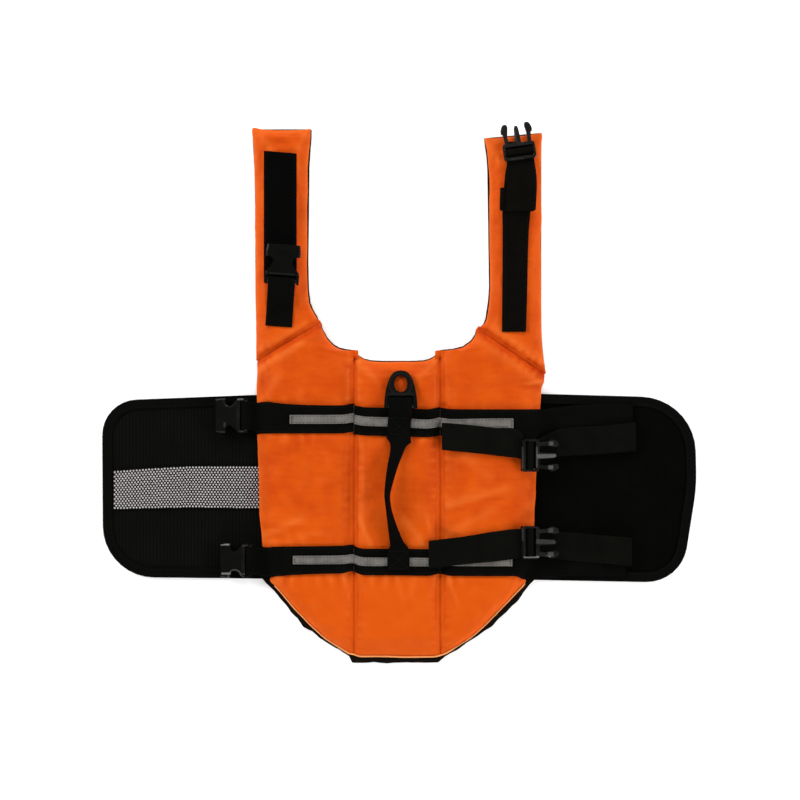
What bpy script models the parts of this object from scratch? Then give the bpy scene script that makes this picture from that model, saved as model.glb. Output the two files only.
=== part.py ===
"""Dog life jacket laid flat, face up: padded orange back with two neck straps, black wrap-round wings,
two webbing bands with side-release buckles, a grab handle and a lead ring.

Lengths below are millimetres; MM turns them into metres. +X is the wearer's right as laid out, +Y points to
the neck, +Z is up, and z = 0 is the face the jacket rests on."""

import math

import bmesh
import bpy
from mathutils import Matrix, Vector

MM = 0.001

# Cloth
GAP = 0.35  # air left between touching layers
FOLD_GAP = 0.3  # and inside a fold
WEB = 1.5  # webbing
LINING = 1.5
TAPE = 1.0  # reflective tape and the mesh stripe
WING = 3.0
BINDING = 1.0

# Padding
PAD_UNDERSIDE = LINING + FOLD_GAP
PAD_RIM = 6.2  # height of a pocket's outer edge, where it is sewn
SEAM_RIM = 10.4  # height of the seam between two pockets
BACK_TOP = 15.0
NECK_TOP = 13.4
ROUNDING = 14.0  # distance over which a pocket swells from its outer edge to full height
SEAM_ROUNDING = 9.0
TUCK = 9.5  # how far a wing runs in under the back's side edge
TUCK_HEIGHT = 4.65  # underside of the back above a tucked wing
TUCK_REACH = 8.0  # how much further in the underside stays raised
TUCK_SPAN = (-77.0, 101.0)  # the stretch of side edge that the wings are sewn to

# The back's seams and edges
SEAM_LEFT = -41.7
SEAM_RIGHT = 38.0
SEAM_GAP = 0.15  # half the gap between two pockets
YOKE_LEFT = (-131.5, 128.7, 1.631)  # slanting seam to the left neck strap: x, y and run in x for each y
YOKE_RIGHT = (135.2, 116.2, -1.473)
YOKE_GAP = 0.35
YOKE_ENDS_LEFT = (128.7, 164.0)  # y of the slanting seam's outer and inner ends
YOKE_ENDS_RIGHT = (116.2, 158.4)
WING_ROOT_LEFT = (-73.4, -42.5, 0.0, 60.0, 97.8)  # y of the sewn-in edge's knots
WING_ROOT_RIGHT = (-74.0, -42.5, 0.0, 60.0, 98.6)

SIDE_EDGES = (  # y, left x, right x
    (-143.5, -45.0, 41.0),
    (-139.0, -51.0, 48.0),
    (-128.0, -68.5, 66.0),
    (-117.0, -81.0, 78.5),
    (-105.6, -91.7, 90.0),
    (-94.5, -101.9, 101.0),
    (-84.0, -110.8, 110.6),
    (-71.0, -118.5, 117.0),
    (-42.5, -127.0, 124.5),
    (0.0, -129.8, 126.2),
    (60.0, -131.5, 129.5),
    (100.0, -131.8, 132.2),
    (104.5, -131.8, 132.4),
    (108.5, -131.8, 134.8),
    (120.0, -131.8, 135.6),
)
TAIL_LINING = (  # y, left x, right x of the lining that shows past the padding
    (-151.4, -43.5, 36.5),
    (-145.5, -46.5, 42.5),
    (-138.9, -54.6, 54.0),
    (-127.8, -72.2, 70.4),
    (-116.7, -86.5, 85.0),
    (-105.6, -97.0, 96.0),
    (-94.5, -107.8, 107.0),
    (-84.0, -117.0, 116.0),
    (-74.9, -125.2, 123.6),
)
NECKLINE_START = 138.0  # y of the middle pocket's corners
NECKLINE_LEFT = (  # y, x from the middle pocket's corner up to the slanting seam
    (138.0, SEAM_LEFT - SEAM_GAP),
    (138.8, -48.5),
    (140.4, -56.0),
    (143.5, -61.3),
    (149.2, -66.5),
    (156.4, -70.6),
    (162.8, -72.9),
)
NECKLINE_RIGHT = (
    (138.0, SEAM_RIGHT + SEAM_GAP),
    (139.2, 50.5),
    (141.7, 60.0),
    (147.2, 67.3),
    (151.9, 70.4),
    (157.2, 72.4),
)
NECK_DIP = 10.0  # how far the middle pocket's top edge hangs below its corners
NECK_DIP_START = 96.0
NECK_DIP_SHARPNESS = 6.0

NECK_LEFT_ROWS = (  # y, outer x, inner x above the slanting seam
    (164.5, -132.4, -73.9),
    (170.0, -132.6, -77.0),
    (176.0, -132.8, -80.6),
    (183.0, -133.0, -83.4),
    (195.0, -133.2, -84.8),
    (220.0, -133.3, -85.4),
    (250.0, -133.4, -85.2),
    (285.0, -133.6, -84.8),
    (308.0, -134.2, -84.4),
    (324.0, -135.0, -83.4),
    (336.0, -135.8, -82.4),
    (342.8, -136.0, -82.4),
)
NECK_RIGHT_ROWS = (  # y, inner x, outer x
    (158.9, 73.2, 132.2),
    (163.0, 79.4, 132.1),
    (168.0, 81.4, 132.0),
    (176.0, 82.6, 131.9),
    (185.0, 83.9, 131.9),
    (197.0, 84.8, 131.9),
    (220.0, 84.3, 131.9),
    (250.0, 84.0, 131.9),
    (285.0, 83.8, 131.9),
    (308.0, 83.2, 131.9),
    (320.0, 82.2, 132.0),
    (329.0, 80.8, 132.2),
    (334.5, 80.2, 132.2),
)
NECK_RIGHT_SLANT = 5.0  # the right strap's end is cut higher at its outer corner
NECK_RIGHT_SLANT_START = 300.0

# Rows of the pockets' grids, beside the ones that the bands and necklines need
BODY_ROWS = (-128.0, -117.0, -105.6, -94.5, -84.0, -77.0, -20.0, 0.0, 20.0, 40.0, 101.0, 110.0)
TAIL_ROWS_SIDE = (-143.5, -139.0)
TAIL_ROWS_MIDDLE = (-145.0, -140.0)
TOP_ROWS_LEFT = (118.0, 128.2, 133.0)
TOP_ROWS_MIDDLE = (119.0, 127.0, 133.0, NECKLINE_START)
TOP_ROWS_RIGHT = (104.5, 108.5, 115.8, 122.0, 130.0)
YOKE_ROWS_LEFT = (129.3, 135.0, 142.0, 149.0, 157.0)  # of a neck strap's slanting foot
YOKE_ROWS_RIGHT = (116.9, 123.0, 131.0, 140.0, 150.0)
YOKE_FOOT_RIGHT = ((116.9, 136.0), (123.0, 135.3), (131.0, 134.2), (146.0, 132.5))  # y, outer x
ACROSS = (0.0, 0.05, 0.11, 0.19, 0.32, 0.5, 0.68, 0.81, 0.89, 0.95, 1.0)  # a back pocket's columns
ACROSS_NECK = (0.0, 0.09, 0.19, 0.32, 0.5, 0.68, 0.81, 0.91, 1.0)

# Lining
ROOT_ROOM = 0.6  # beside the sewn-in edge of a wing
ROOT_ROOM_ENDS = (1.2, 1.5)  # below and above that edge
LINING_PAST = 1.0  # how far it shows past the neckline
LINING_INSET = 0.4  # where the neckline runs up to the slanting seams
LINING_YOKE_ROOM = 0.7
LINING_NECK_PAST = 1.2  # past a neck strap's inner edge and end
LINING_NECK_OUTER = 0.2

# Wings: outer corners as x, y, radius, steps
WING_LEFT = ((-275.6, 91.8, 33.0, 8), (-274.6, -71.6, 48.0, 9))
WING_RIGHT = ((262.0, -77.0, 38.0, 8), (276.0, 12.0, 150.0, 3), (274.4, 94.4, 52.0, 9))
WING_RIM = 9.6  # width of a wing's thinner rim
WING_RIM_STEP = 1.0
BINDING_WIDTH = 9.0  # of the binding folded over that rim
STRIPE_KNOTS = ((-265.2, -9.2, 27.0), (-200.0, -7.3, 31.4), (-125.0, -8.5, 31.4))  # x, low y, high y
STRIPE_COLUMNS = 5
STRIPE_EDGE = (10.0, TUCK - 1.0)  # y at which its inner end is found, and how far that is tucked in

# Bands and their reflective tapes: the y of their edges on the left, middle and right pockets
BANDS = {
    "upper": {
        "low": (60.6, 57.6, 57.4),
        "tape_low": (67.4, 66.0, 65.6),
        "tape_high": (78.6, 76.8, 76.2),
        "high": (89.8, 87.2, 86.6),
        "tape_ends": (-101.0, 105.6),
        "wing_end": 216.7,
        "buckle": (-143.0, 78.2),
        "wing": (61.0, 90.4),
    },
    "lower": {
        "low": (-70.6, -70.9, -71.2),
        "tape_low": (-61.0, -61.0, -61.0),
        "tape_high": (-49.9, -50.3, -50.6),
        "high": (-41.4, -42.9, -43.3),
        "tape_ends": (-98.0, 104.6),
        "wing_end": 210.5,
        "buckle": (-138.4, -56.3),
        "wing": (-71.4, -42.0),
    },
}
EDGE_KEYS = ("low", "tape_low", "tape_high", "high")
WING_REST = 4.35  # what lies on a wing clears its binding at this height
BAND_STEP = ((3.2, 5.2), (8.0, WING_REST))  # run out from the back's side edge, height, as a band steps down
BAND_STEP_LEAN = 0.6
BAND_LOOP_FOOT = ((9.4, 5.15), (2.4, 5.6))  # run from the bar, height, of the end sewn under
BAND_LOOP_RISE = ((5.1, 8.7), (8.2, 7.5))  # and of the way up to the back
BAND_LOOP_ARC = (285.0, 48.0, 7)  # of the loop round the bar: degrees from, to, and steps
BAND_LOOP_SHARES = (-1.0, -0.33, 0.33, 1.0)
BAND_STRAIGHT = 170.0  # x from which a band lies straight along the wing
TAPE_CLEAR = 1.0  # least distance from a tape's cut end to its next column
BAND_MARGIN = 1.5  # beside a band and a tape, where what crosses them is already lifted
TAPE_MARGIN = 1.0

# Side-release buckles: u runs from the bar to the tip, v across, w up
BUCKLE_HALF = 15.9
BAR_RADIUS = 2.0
LOOP_RADIUS = BAR_RADIUS + 0.45 + WEB / 2  # of a webbing loop's middle line round a bar
LOOP_HALF = 13.3
SOCKET_LENGTH = 26.6  # bar to mouth
SOCKET_START = 4.3
SOCKET_SECTIONS = (  # u, half width, half thickness
    (SOCKET_START, 15.0, 2.8),
    (7.5, BUCKLE_HALF, 4.0),
    (22.0, BUCKLE_HALF, 4.0),
    (SOCKET_LENGTH, 15.1, 3.3),
)
SOCKET_CHAMFER = 1.3
SOCKET_NOTCH = (  # u, v of a side opening, from the bar to the sleeve
    (6.2, 17.4),
    (6.6, 14.9),
    (9.6, 11.6),
    (12.2, 9.3),
    (14.2, 8.6),
    (16.0, 9.2),
    (17.4, 11.4),
    (18.0, 17.4),
)
SOCKET_NECK_STRETCH = 1.25  # the neck buckle's socket is longer
SOCKET_ARM = (-3.2, 6.0)  # u of the two arms that hold the bar
SOCKET_ARM_DEPTH = 2.2
SOCKET_BAR_HEIGHT = 9.6  # over the rest face, on a wing
SOCKET_CAVITY = (9.0, 11.6, 2.3)  # start, half width, half height
BAR_SEAT = 1.2  # how far a bar runs into the arms at its ends
SOCKET_ARM_ROOM = 0.4  # between an arm and the webbing's edge
CUT_PAST = 1.0  # how far a cutter runs past what it cuts
PLUG_FRAME = 16.2
PLUG_HALF = 15.0
PLUG_THICK = 3.4
PLUG_CORNER = 2.4
PLUG_WINDOW = (2.6, 13.0, 13.1)  # start, end, half width
PLUG_BAR = (7.4, 8.8, 0.2, 2.0)  # of the middle bar: start, end, low, high
PLUG_BAR_SEAT = 0.8
PLUG_PRONG = ((15.0, 3.0), (30.5, 2.1), (33.0, 1.0))  # u, half width of the centre prong
PLUG_PRONG_DEPTH = (0.7, 3.0)
PLUG_ARM = (  # u, v of a springy arm: root, inner side, rounded tip, catch, outer side
    (15.0, 8.4),
    (23.0, 9.2),
    (28.0, 8.4),
    (32.0, 7.7),
    (34.6, 8.3),
    (35.4, 10.0),
    (34.6, 12.2),
    (32.2, 13.7),
    (29.2, 14.6),
    (27.0, 14.5),
    (26.2, 13.2),
    (22.0, 12.6),
    (15.0, 12.2),
)
PLUG_ARM_DEPTH = (0.2, 3.6)

# Lead ring
RING_BAR = (1.6, 86.8, 20.9)
RING_PITCH = -8.0  # degrees; its tip rests on the middle pocket
RING_BAR_RADIUS = 1.8
RING_THICK = 3.4
RING_TIP = 33.2
RING_HALF = 15.4
RING_ARCH = (1.15, 0.72)  # powers that square the arch's shoulders, along and across
RING_HOLE = (20.8, 7.8, 6.1)  # u of its middle, half length, half width
RING_SLOT = (9.5, 11.5)  # end, half width of the gap that the webbing passes through

# Girth straps
GIRTH = {
    "upper": {
        "plug": (113.0, 41.4, 19.2),
        "pitch": -16.5,
        "line": (  # x, y of the strap's middle line, from its tail's end to its fold
            (39.4, 58.6),
            (66.0, 56.3),
            (93.5, 53.2),
            (103.0, 48.6),
            (112.0, 41.8),
            (114.0, 41.4),
            (127.5, 41.4),
            (132.4, 44.4),
            (139.8, 50.0),
            (149.0, 53.7),
            (180.0, 54.9),
            (217.8, 58.6),
        ),
    },
    "lower": {
        "plug": (113.0, -38.9, 19.2),
        "pitch": -16.5,
        "line": (  # from its tail's end to its fold
            (27.3, -49.5),
            (47.2, -47.2),
            (93.5, -41.7),
            (112.0, -39.1),
            (114.0, -38.9),
            (127.5, -38.9),
            (149.0, -42.4),
            (214.1, -48.0),
        ),
    },
}
STRAP_HALF = 13.2
STRAP_HALF_IN_PLUG = 12.7
STRAP_LANDING = 9.0  # how far before its plug a tail starts to rise
STRAP_HEM = 22.0  # length folded under at its far end
STRAP_NARROW = (-4.0, 36.0)  # u between which a strap is drawn narrow by its plug
STRAP_ON_WING = 157.0  # x from which a strap lies on the wing's band
STRAP_HEM_RISE = 11.0  # run of the step up onto the hem
STRAP_HEM_END = 1.0
STRAP_FOLD = 0.6

# Webbing through a plug: middle line in the plug's own u and w, from the tail to under the prongs
WEAVE_THROUGH = (
    (0.5, -1.1),
    (3.2, -1.1),
    (5.9, 2.2),
    (7.0, 3.1),
    (9.2, 3.1),
    (10.2, 2.3),
    (11.6, -0.6),
    (13.0, -1.2),
    (25.0, -1.15),
    (36.0, -1.15),
)
# and from the standing part round the plug's bar and back out as the tail
WEAVE_BACK = (
    (0.5, -2.9),
    (7.5, -2.9),
    (9.9, -2.2),
    (10.9, -0.6),
    (10.9, 1.4),
    (10.1, 2.7),
    (9.0, 3.1),
    (7.2, 3.1),
    (5.9, 2.2),
    (3.2, -1.1),
    (0.5, -1.1),
)

# Neck webbing
NECK_PATCH = {"x": (-125.0, -94.6), "low": 214.0, "high": (323.0, 320.4)}
NECK_PATCH_CELLS = (8, 6)
NECK_PATCH_GAP = 0.5
NECK_SOCKET = (-108.3, 202.5, 19.8)
NECK_SOCKET_TURN = -4.0
NECK_PLUG = (112.2, 313.8, 19.4)
NECK_PLUG_TURN = 8.0
NECK_PLUG_PITCH = -15.0
NECK_REST = NECK_TOP + GAP + WEB / 2
NECK_WEB_HALF = 12.4
NECK_WEB_FOOT = ((160.4, 0.0), (176.0, 0.0), (184.0, 2.0))  # y, height: sewn foot, up to the socket's bar
NECK_WEB_ARC = (132.0, -78.0, 7)  # degrees from, to, and steps
NECK_WEB_BACK = ((197.6, 1.2), (188.0, 0.0))  # and the end under the bar
NECK_STANDING = ((155.6, 0.0), (205.0, 0.0), (255.0, 0.0), (292.0, 0.1), (304.0, 1.0))  # y, height
NECK_STANDING_LINE = ((155.6, 106.4), (255.0, 107.4), (304.0, 111.9))  # y, x
NECK_TAIL = ((302.0, 0.2), (290.0, 0.0))  # y, height of the part that comes back from the plug
NECK_TAIL_LINE = ((268.3, 112.9), (302.0, 112.2))  # y, x
NECK_HEM = (268.3, 289.8)  # y of the tail's fold and of its turned-in end
NECK_HEM_LEAN = 6.0  # how far that end leans sideways
NECK_BEND = (270.0, 310.0)  # y over which the webbing turns with the plug

# Handle
HANDLE = (  # y, x, z, width, thickness, roll in degrees about the handle's own line
    (78.8, 1.2, 17.95, 21.8, WEB, 0.0),
    (86.8, 1.4, 18.05, 21.8, WEB, 0.0),
    (91.8, 1.4, 18.05, 21.8, WEB, 0.0),
    (93.8, 1.4, 18.9, 21.8, WEB, 0.0),
    (94.65, 1.4, 20.9, 21.8, WEB, 0.0),
    (93.8, 1.4, 22.9, 21.8, WEB, 0.0),
    (91.8, 1.4, 23.75, 21.8, WEB, 0.0),
    (86.8, 1.4, 23.85, 21.8, WEB, 0.0),
    (82.6, 1.4, 23.3, 21.6, WEB, 0.0),
    (77.0, 1.0, 20.6, 21.4, WEB, 0.0),
    (71.5, 0.2, 19.35, 21.4, WEB, 0.0),
    (58.5, -0.3, 19.35, 21.8, WEB, 0.0),
    (56.0, -0.6, 19.5, 24.0, 1.7, 0.0),
    (51.4, -1.9, 20.2, 13.4, 3.2, 12.0),
    (37.0, -4.9, 23.0, 11.8, 3.2, 38.0),
    (18.5, -8.9, 26.0, 11.5, 3.2, 64.0),
    (4.6, -11.2, 27.0, 11.5, 3.2, 78.0),
    (-9.3, -9.4, 26.6, 11.5, 3.2, 78.0),
    (-23.0, -6.5, 24.4, 11.5, 3.2, 62.0),
    (-35.0, -3.4, 21.6, 11.8, 3.2, 34.0),
    (-40.5, -1.8, 20.4, 13.0, 3.0, 8.0),
    (-45.0, -0.5, 19.45, 20.6, WEB, 0.0),
    (-64.8, -0.5, 19.45, 20.6, WEB, 0.0),
)

COLOURS = {
    "shell_orange": ((0.70, 0.085, 0.006), 0.62),
    "lining_black": ((0.008, 0.008, 0.008), 0.9),
    "webbing_black": ((0.004, 0.004, 0.0035), 0.75),
    "tape_grey": ((0.12, 0.11, 0.10), 0.4),
    "wing_black": ((0.006, 0.006, 0.0055), 0.9),
    "stripe_grey": ((0.17, 0.16, 0.16), 0.8),
    "binding_black": ((0.006, 0.006, 0.0055), 0.8),
    "plastic_black": ((0.006, 0.006, 0.006), 0.35),
}


# ---------------------------------------------------------------- mesh makers


def material(slot):
    """The Principled material of one slot, made once."""
    made = bpy.data.materials.get(slot)
    if made:
        return made
    made = bpy.data.materials.new(slot)
    made.use_nodes = True
    colour, roughness = COLOURS[slot]
    shader = made.node_tree.nodes["Principled BSDF"]
    shader.inputs["Base Color"].default_value = (*colour, 1.0)
    shader.inputs["Roughness"].default_value = roughness
    shader.inputs["Metallic"].default_value = 0.0
    return made


def put(name, slot, bm, smooth_angle=40.0):
    """Closes a bmesh in millimetres into a scene object in metres."""
    bmesh.ops.recalc_face_normals(bm, faces=bm.faces[:])
    if bm.calc_volume(signed=True) < 0:
        bmesh.ops.reverse_faces(bm, faces=bm.faces[:])
    bmesh.ops.scale(bm, vec=(MM, MM, MM), verts=bm.verts[:])
    mesh = bpy.data.meshes.new(name)
    bm.to_mesh(mesh)
    bm.free()
    mesh.shade_smooth()
    mesh.set_sharp_from_angle(angle=math.radians(smooth_angle))
    mesh.materials.append(material(slot))
    thing = bpy.data.objects.new(name, mesh)
    bpy.context.scene.collection.objects.link(thing)
    return thing


def slab(name, slot, under, over):
    """A closed sheet between two equal grids of points, under[i][j] and over[i][j]."""
    along, across = len(under) - 1, len(under[0]) - 1
    bm = bmesh.new()
    bmesh.ops.create_grid(bm, x_segments=across, y_segments=along, size=0.5)
    grown = bmesh.ops.extrude_face_region(bm, geom=bm.faces[:])["geom"]
    raised = {item for item in grown if isinstance(item, bmesh.types.BMVert)}
    for vert in bm.verts:
        i = round((vert.co.y + 0.5) * along)
        j = round((vert.co.x + 0.5) * across)
        vert.co = (over if vert in raised else under)[i][j]
    return put(name, slot, bm)


def sweep(name, slot, sections, smooth_angle=40.0):
    """A closed body through equal rings of points, capped at both ends."""
    bm = bmesh.new()
    face = bm.faces.new([bm.verts.new(point) for point in sections[0]])
    for step, section in enumerate(sections[1:]):
        grown = bmesh.ops.extrude_face_region(bm, geom=[face])["geom"]
        front = next(item for item in grown if isinstance(item, bmesh.types.BMFace))
        for vert, point in zip(front.verts, section):
            vert.co = point
        if step:
            bm.faces.remove(face)
        face = front
    return put(name, slot, bm, smooth_angle)


def at_height(outline, z):
    return [(x, y, z) for x, y in outline]


def plate(name, slot, outline, low, high):
    """A flat plate of the given outline between two heights."""
    return sweep(name, slot, [at_height(outline, low), at_height(outline, high)])


def block(name, u, v, w):
    """A box between the given limits."""
    outline = ((u[0], v[0]), (u[1], v[0]), (u[1], v[1]), (u[0], v[1]))
    return plate(name, "plastic_black", outline, w[0], w[1])


def rod(name, radius, half_length, sides=16):
    """A round bar along v through the origin."""
    rings = []
    for v in (-half_length, half_length):
        turns = (2 * math.pi * k / sides for k in range(sides))
        rings.append([(radius * math.cos(a), v, radius * math.sin(a)) for a in turns])
    return sweep(name, "plastic_black", rings)


def fuse(base, cuts=(), joins=()):
    """Cuts helpers out of a base, then joins others to it, with Boolean modifiers."""
    for kind, helpers in (("DIFFERENCE", cuts), ("UNION", joins)):
        for helper in helpers:
            helper.parent = base
            helper.hide_render = True
            helper.display_type = "WIRE"
            modifier = base.modifiers.new(helper.name, "BOOLEAN")
            modifier.operation = kind
            modifier.solver = "EXACT"
            modifier.object = helper
    return base


def seat(thing, place, heading, pitch):
    """Sets a buckle down: its u axis turned to a heading in the plan, its tip tilted up by the pitch."""
    turn = Matrix.Rotation(math.radians(heading), 4, "Z") @ Matrix.Rotation(math.radians(-pitch), 4, "Y")
    thing.matrix_world = Matrix.Translation(Vector(place) * MM) @ turn
    return thing


# ---------------------------------------------------------------- outlines


def clamp(value, low=0.0, high=1.0):
    return max(low, min(high, value))


def table(rows, y, column):
    """Linear reading of a table whose first column is y."""
    if y <= rows[0][0]:
        return rows[0][column]
    for lower, upper in zip(rows, rows[1:]):
        if y <= upper[0]:
            share = (y - lower[0]) / (upper[0] - lower[0])
            return lower[column] + share * (upper[column] - lower[column])
    return rows[-1][column]


def yoke_x(yoke, y):
    """Where a slanting seam lies at this y."""
    return yoke[0] + yoke[2] * (y - yoke[1])


def mitre(before, here, after):
    """The step that moves a corner by one to the left of both its edges; either neighbour may be None."""
    normals = []
    for start, end in ((before, here), (here, after)):
        if start is None or end is None:
            continue
        run, rise = end[0] - start[0], end[1] - start[1]
        length = math.hypot(run, rise)
        normals.append((-rise / length, run / length))
    nx = sum(n[0] for n in normals) / len(normals)
    ny = sum(n[1] for n in normals) / len(normals)
    return nx / (nx * nx + ny * ny), ny / (nx * nx + ny * ny)


def offset(outline, distance, closed=True):
    """Moves an anticlockwise outline inward along its mitred normals."""
    count = len(outline)
    moved = []
    for k, here in enumerate(outline):
        before = outline[k - 1] if closed or k else None
        after = outline[(k + 1) % count] if closed or k < count - 1 else None
        nx, ny = mitre(before, here, after)
        moved.append((here[0] + nx * distance, here[1] + ny * distance))
    return moved


def rounded(corners):
    """Turns (x, y, radius, steps) corners into an outline with arcs."""
    outline = []
    count = len(corners)
    for k, (x, y, radius, steps) in enumerate(corners):
        here = Vector((x, y))
        back = (Vector(corners[k - 1][:2]) - here).normalized()
        ahead = (Vector(corners[(k + 1) % count][:2]) - here).normalized()
        if not radius:
            outline.append((x, y))
            continue
        half = back.angle(ahead) / 2
        middle = here + (back + ahead).normalized() * (radius / math.sin(half))
        start = here + back * (radius / math.tan(half)) - middle
        sweep_angle = math.pi - 2 * half
        turn = 1.0 if back.x * ahead.y - back.y * ahead.x < 0 else -1.0
        for step in range(steps + 1):
            angle = turn * sweep_angle * step / steps
            outline.append(tuple(middle + Matrix.Rotation(angle, 2) @ start))
    return outline


# ---------------------------------------------------------------- padded pockets


def swell(distance, seam, top):
    """Share of full height at a distance from an outer edge, or from a seam, whose dip is shallower."""
    if not seam:
        return math.sin(math.pi / 2 * clamp(distance / ROUNDING))
    dip = (top - SEAM_RIM) / (top - PAD_RIM)
    return 1.0 - dip * (1.0 - math.sin(math.pi / 2 * clamp(distance / SEAM_ROUNDING)))


class Pocket:
    """One foam pocket: rows of (y, left x, right x), how high it swells, how its rows bend, which of its
    sides are seams at each y, and which of its ends are outer edges."""

    def __init__(self, rows, top, across, seams, ends=(True, True), bend=lambda y, t: 0.0, tucked=None):
        self.rows = sorted(rows)
        self.top = top
        self.across = across
        self.seams = seams
        self.ends = ends
        self.bend = bend
        self.tucked = tucked

    def height(self, x, y):
        left, right = table(self.rows, y, 1), table(self.rows, y, 2)
        t = clamp((x - left) / (right - left))
        low, high = self.rows[0][0], self.rows[-1][0]
        seam_left, seam_right = self.seams(y)
        share = swell(x - left, seam_left, self.top) * swell(right - x, seam_right, self.top)
        if self.ends[0]:
            share *= swell(y - low - self.bend(low, t), False, self.top)
        if self.ends[1]:
            share *= swell(high + self.bend(high, t) - y, False, self.top)
        return PAD_RIM + (self.top - PAD_RIM) * share

    def point(self, row, t):
        y, left, right = row
        x = left + t * (right - left)
        y += self.bend(row[0], t)
        return x, y, self.height(x, y)

    def underside(self, row, t):
        """The flat underside, raised along the side edge that a wing runs in under."""
        x, y, _ = self.point(row, t)
        z = PAD_UNDERSIDE
        if self.tucked:
            inset = x - row[1] if self.tucked == "left" else row[2] - x
            if TUCK_SPAN[0] <= row[0] <= TUCK_SPAN[1] and inset <= TUCK + TUCK_REACH:
                z = TUCK_HEIGHT
        return x, y, z

    def build(self, name):
        under = [[self.underside(row, t) for t in self.across] for row in self.rows]
        over = [[self.point(row, t) for t in self.across] for row in self.rows]
        return slab(name, "shell_orange", under, over)


def band_rows(pocket_index):
    """The rows that a pocket needs under the edges of the bands and tapes."""
    keys = ("low", "tape_low", "tape_high", "high")
    return [band[key][pocket_index] for band in BANDS.values() for key in keys]


def side_pocket_rows(left_side):
    """Rows of a side pocket, between its seam and the back's edge, then between yoke seam and neckline."""
    index = 0 if left_side else 2
    yoke = YOKE_LEFT if left_side else YOKE_RIGHT
    neckline = NECKLINE_LEFT if left_side else NECKLINE_RIGHT
    sign = -1.0 if left_side else 1.0
    seam = SEAM_LEFT - SEAM_GAP if left_side else SEAM_RIGHT + SEAM_GAP
    rows = []
    top_rows = TOP_ROWS_LEFT if left_side else TOP_ROWS_RIGHT
    for y in (*TAIL_ROWS_SIDE, *BODY_ROWS, *top_rows, *band_rows(index)):
        outer = table(SIDE_EDGES, y, 1 if left_side else 2)
        slant = yoke_x(yoke, y) - sign * YOKE_GAP
        outer = max(outer, slant) if left_side else min(outer, slant)
        rows.append((y, outer, seam) if left_side else (y, seam, outer))
    for y, inner in neckline:
        slant = yoke_x(yoke, y) - sign * YOKE_GAP
        rows.append((y, slant, inner) if left_side else (y, inner, slant))
    return rows


def middle_bend(y, t):
    """The middle pocket's upper rows hang down between its corners."""
    share = clamp((y - NECK_DIP_START) / (NECKLINE_START - NECK_DIP_START))
    return -NECK_DIP * share * (1.0 - abs(2 * t - 1) ** NECK_DIP_SHARPNESS)


def neck_right_bend(y, t):
    """The right neck strap's end is cut on a slant."""
    share = clamp((y - NECK_RIGHT_SLANT_START) / (NECK_RIGHT_ROWS[-1][0] - NECK_RIGHT_SLANT_START))
    return NECK_RIGHT_SLANT * share * t


def neck_rows(left_side):
    """Rows of a neck strap, first along the slanting seam, then up to its end."""
    rows = list(NECK_LEFT_ROWS if left_side else NECK_RIGHT_ROWS)
    if left_side:
        rows += [(y, NECK_LEFT_ROWS[0][1], yoke_x(YOKE_LEFT, y) - YOKE_GAP) for y in YOKE_ROWS_LEFT]
    else:
        rows += [(y, yoke_x(YOKE_RIGHT, y) + YOKE_GAP, table(YOKE_FOOT_RIGHT, y, 1)) for y in YOKE_ROWS_RIGHT]
    return rows


def middle_rows():
    """Rows of the middle pocket, between the two seams."""
    ys = (*TAIL_ROWS_MIDDLE, *BODY_ROWS, *TOP_ROWS_MIDDLE, *band_rows(1))
    return [(y, SEAM_LEFT + SEAM_GAP, SEAM_RIGHT - SEAM_GAP) for y in ys]


POCKETS = {
    "back_left": Pocket(
        side_pocket_rows(True),
        BACK_TOP,
        ACROSS,
        lambda y: (y > YOKE_ENDS_LEFT[0], y < NECKLINE_START),
        (True, False),
        tucked="left",
    ),
    "back_middle": Pocket(middle_rows(), BACK_TOP, ACROSS, lambda y: (True, True), bend=middle_bend),
    "back_right": Pocket(
        side_pocket_rows(False),
        BACK_TOP,
        ACROSS,
        lambda y: (y < NECKLINE_START, y > YOKE_ENDS_RIGHT[0]),
        (True, False),
        tucked="right",
    ),
    "neck_left": Pocket(
        neck_rows(True),
        NECK_TOP,
        ACROSS_NECK,
        lambda y: (False, y < YOKE_ENDS_LEFT[1]),
        (False, True),
    ),
    "neck_right": Pocket(
        neck_rows(False),
        NECK_TOP,
        ACROSS_NECK,
        lambda y: (y < YOKE_ENDS_RIGHT[1], False),
        (False, True),
        bend=neck_right_bend,
    ),
}
BACK = [POCKETS[name] for name in ("back_left", "back_middle", "back_right")]


# ---------------------------------------------------------------- lining


def wing_root(knots, side):
    """The edge of a wing that is sewn in under the back: side 1 is the left, 2 the right."""
    inset = TUCK if side == 1 else -TUCK
    return [(table(SIDE_EDGES, y, side) + inset, y) for y in knots]


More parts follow.
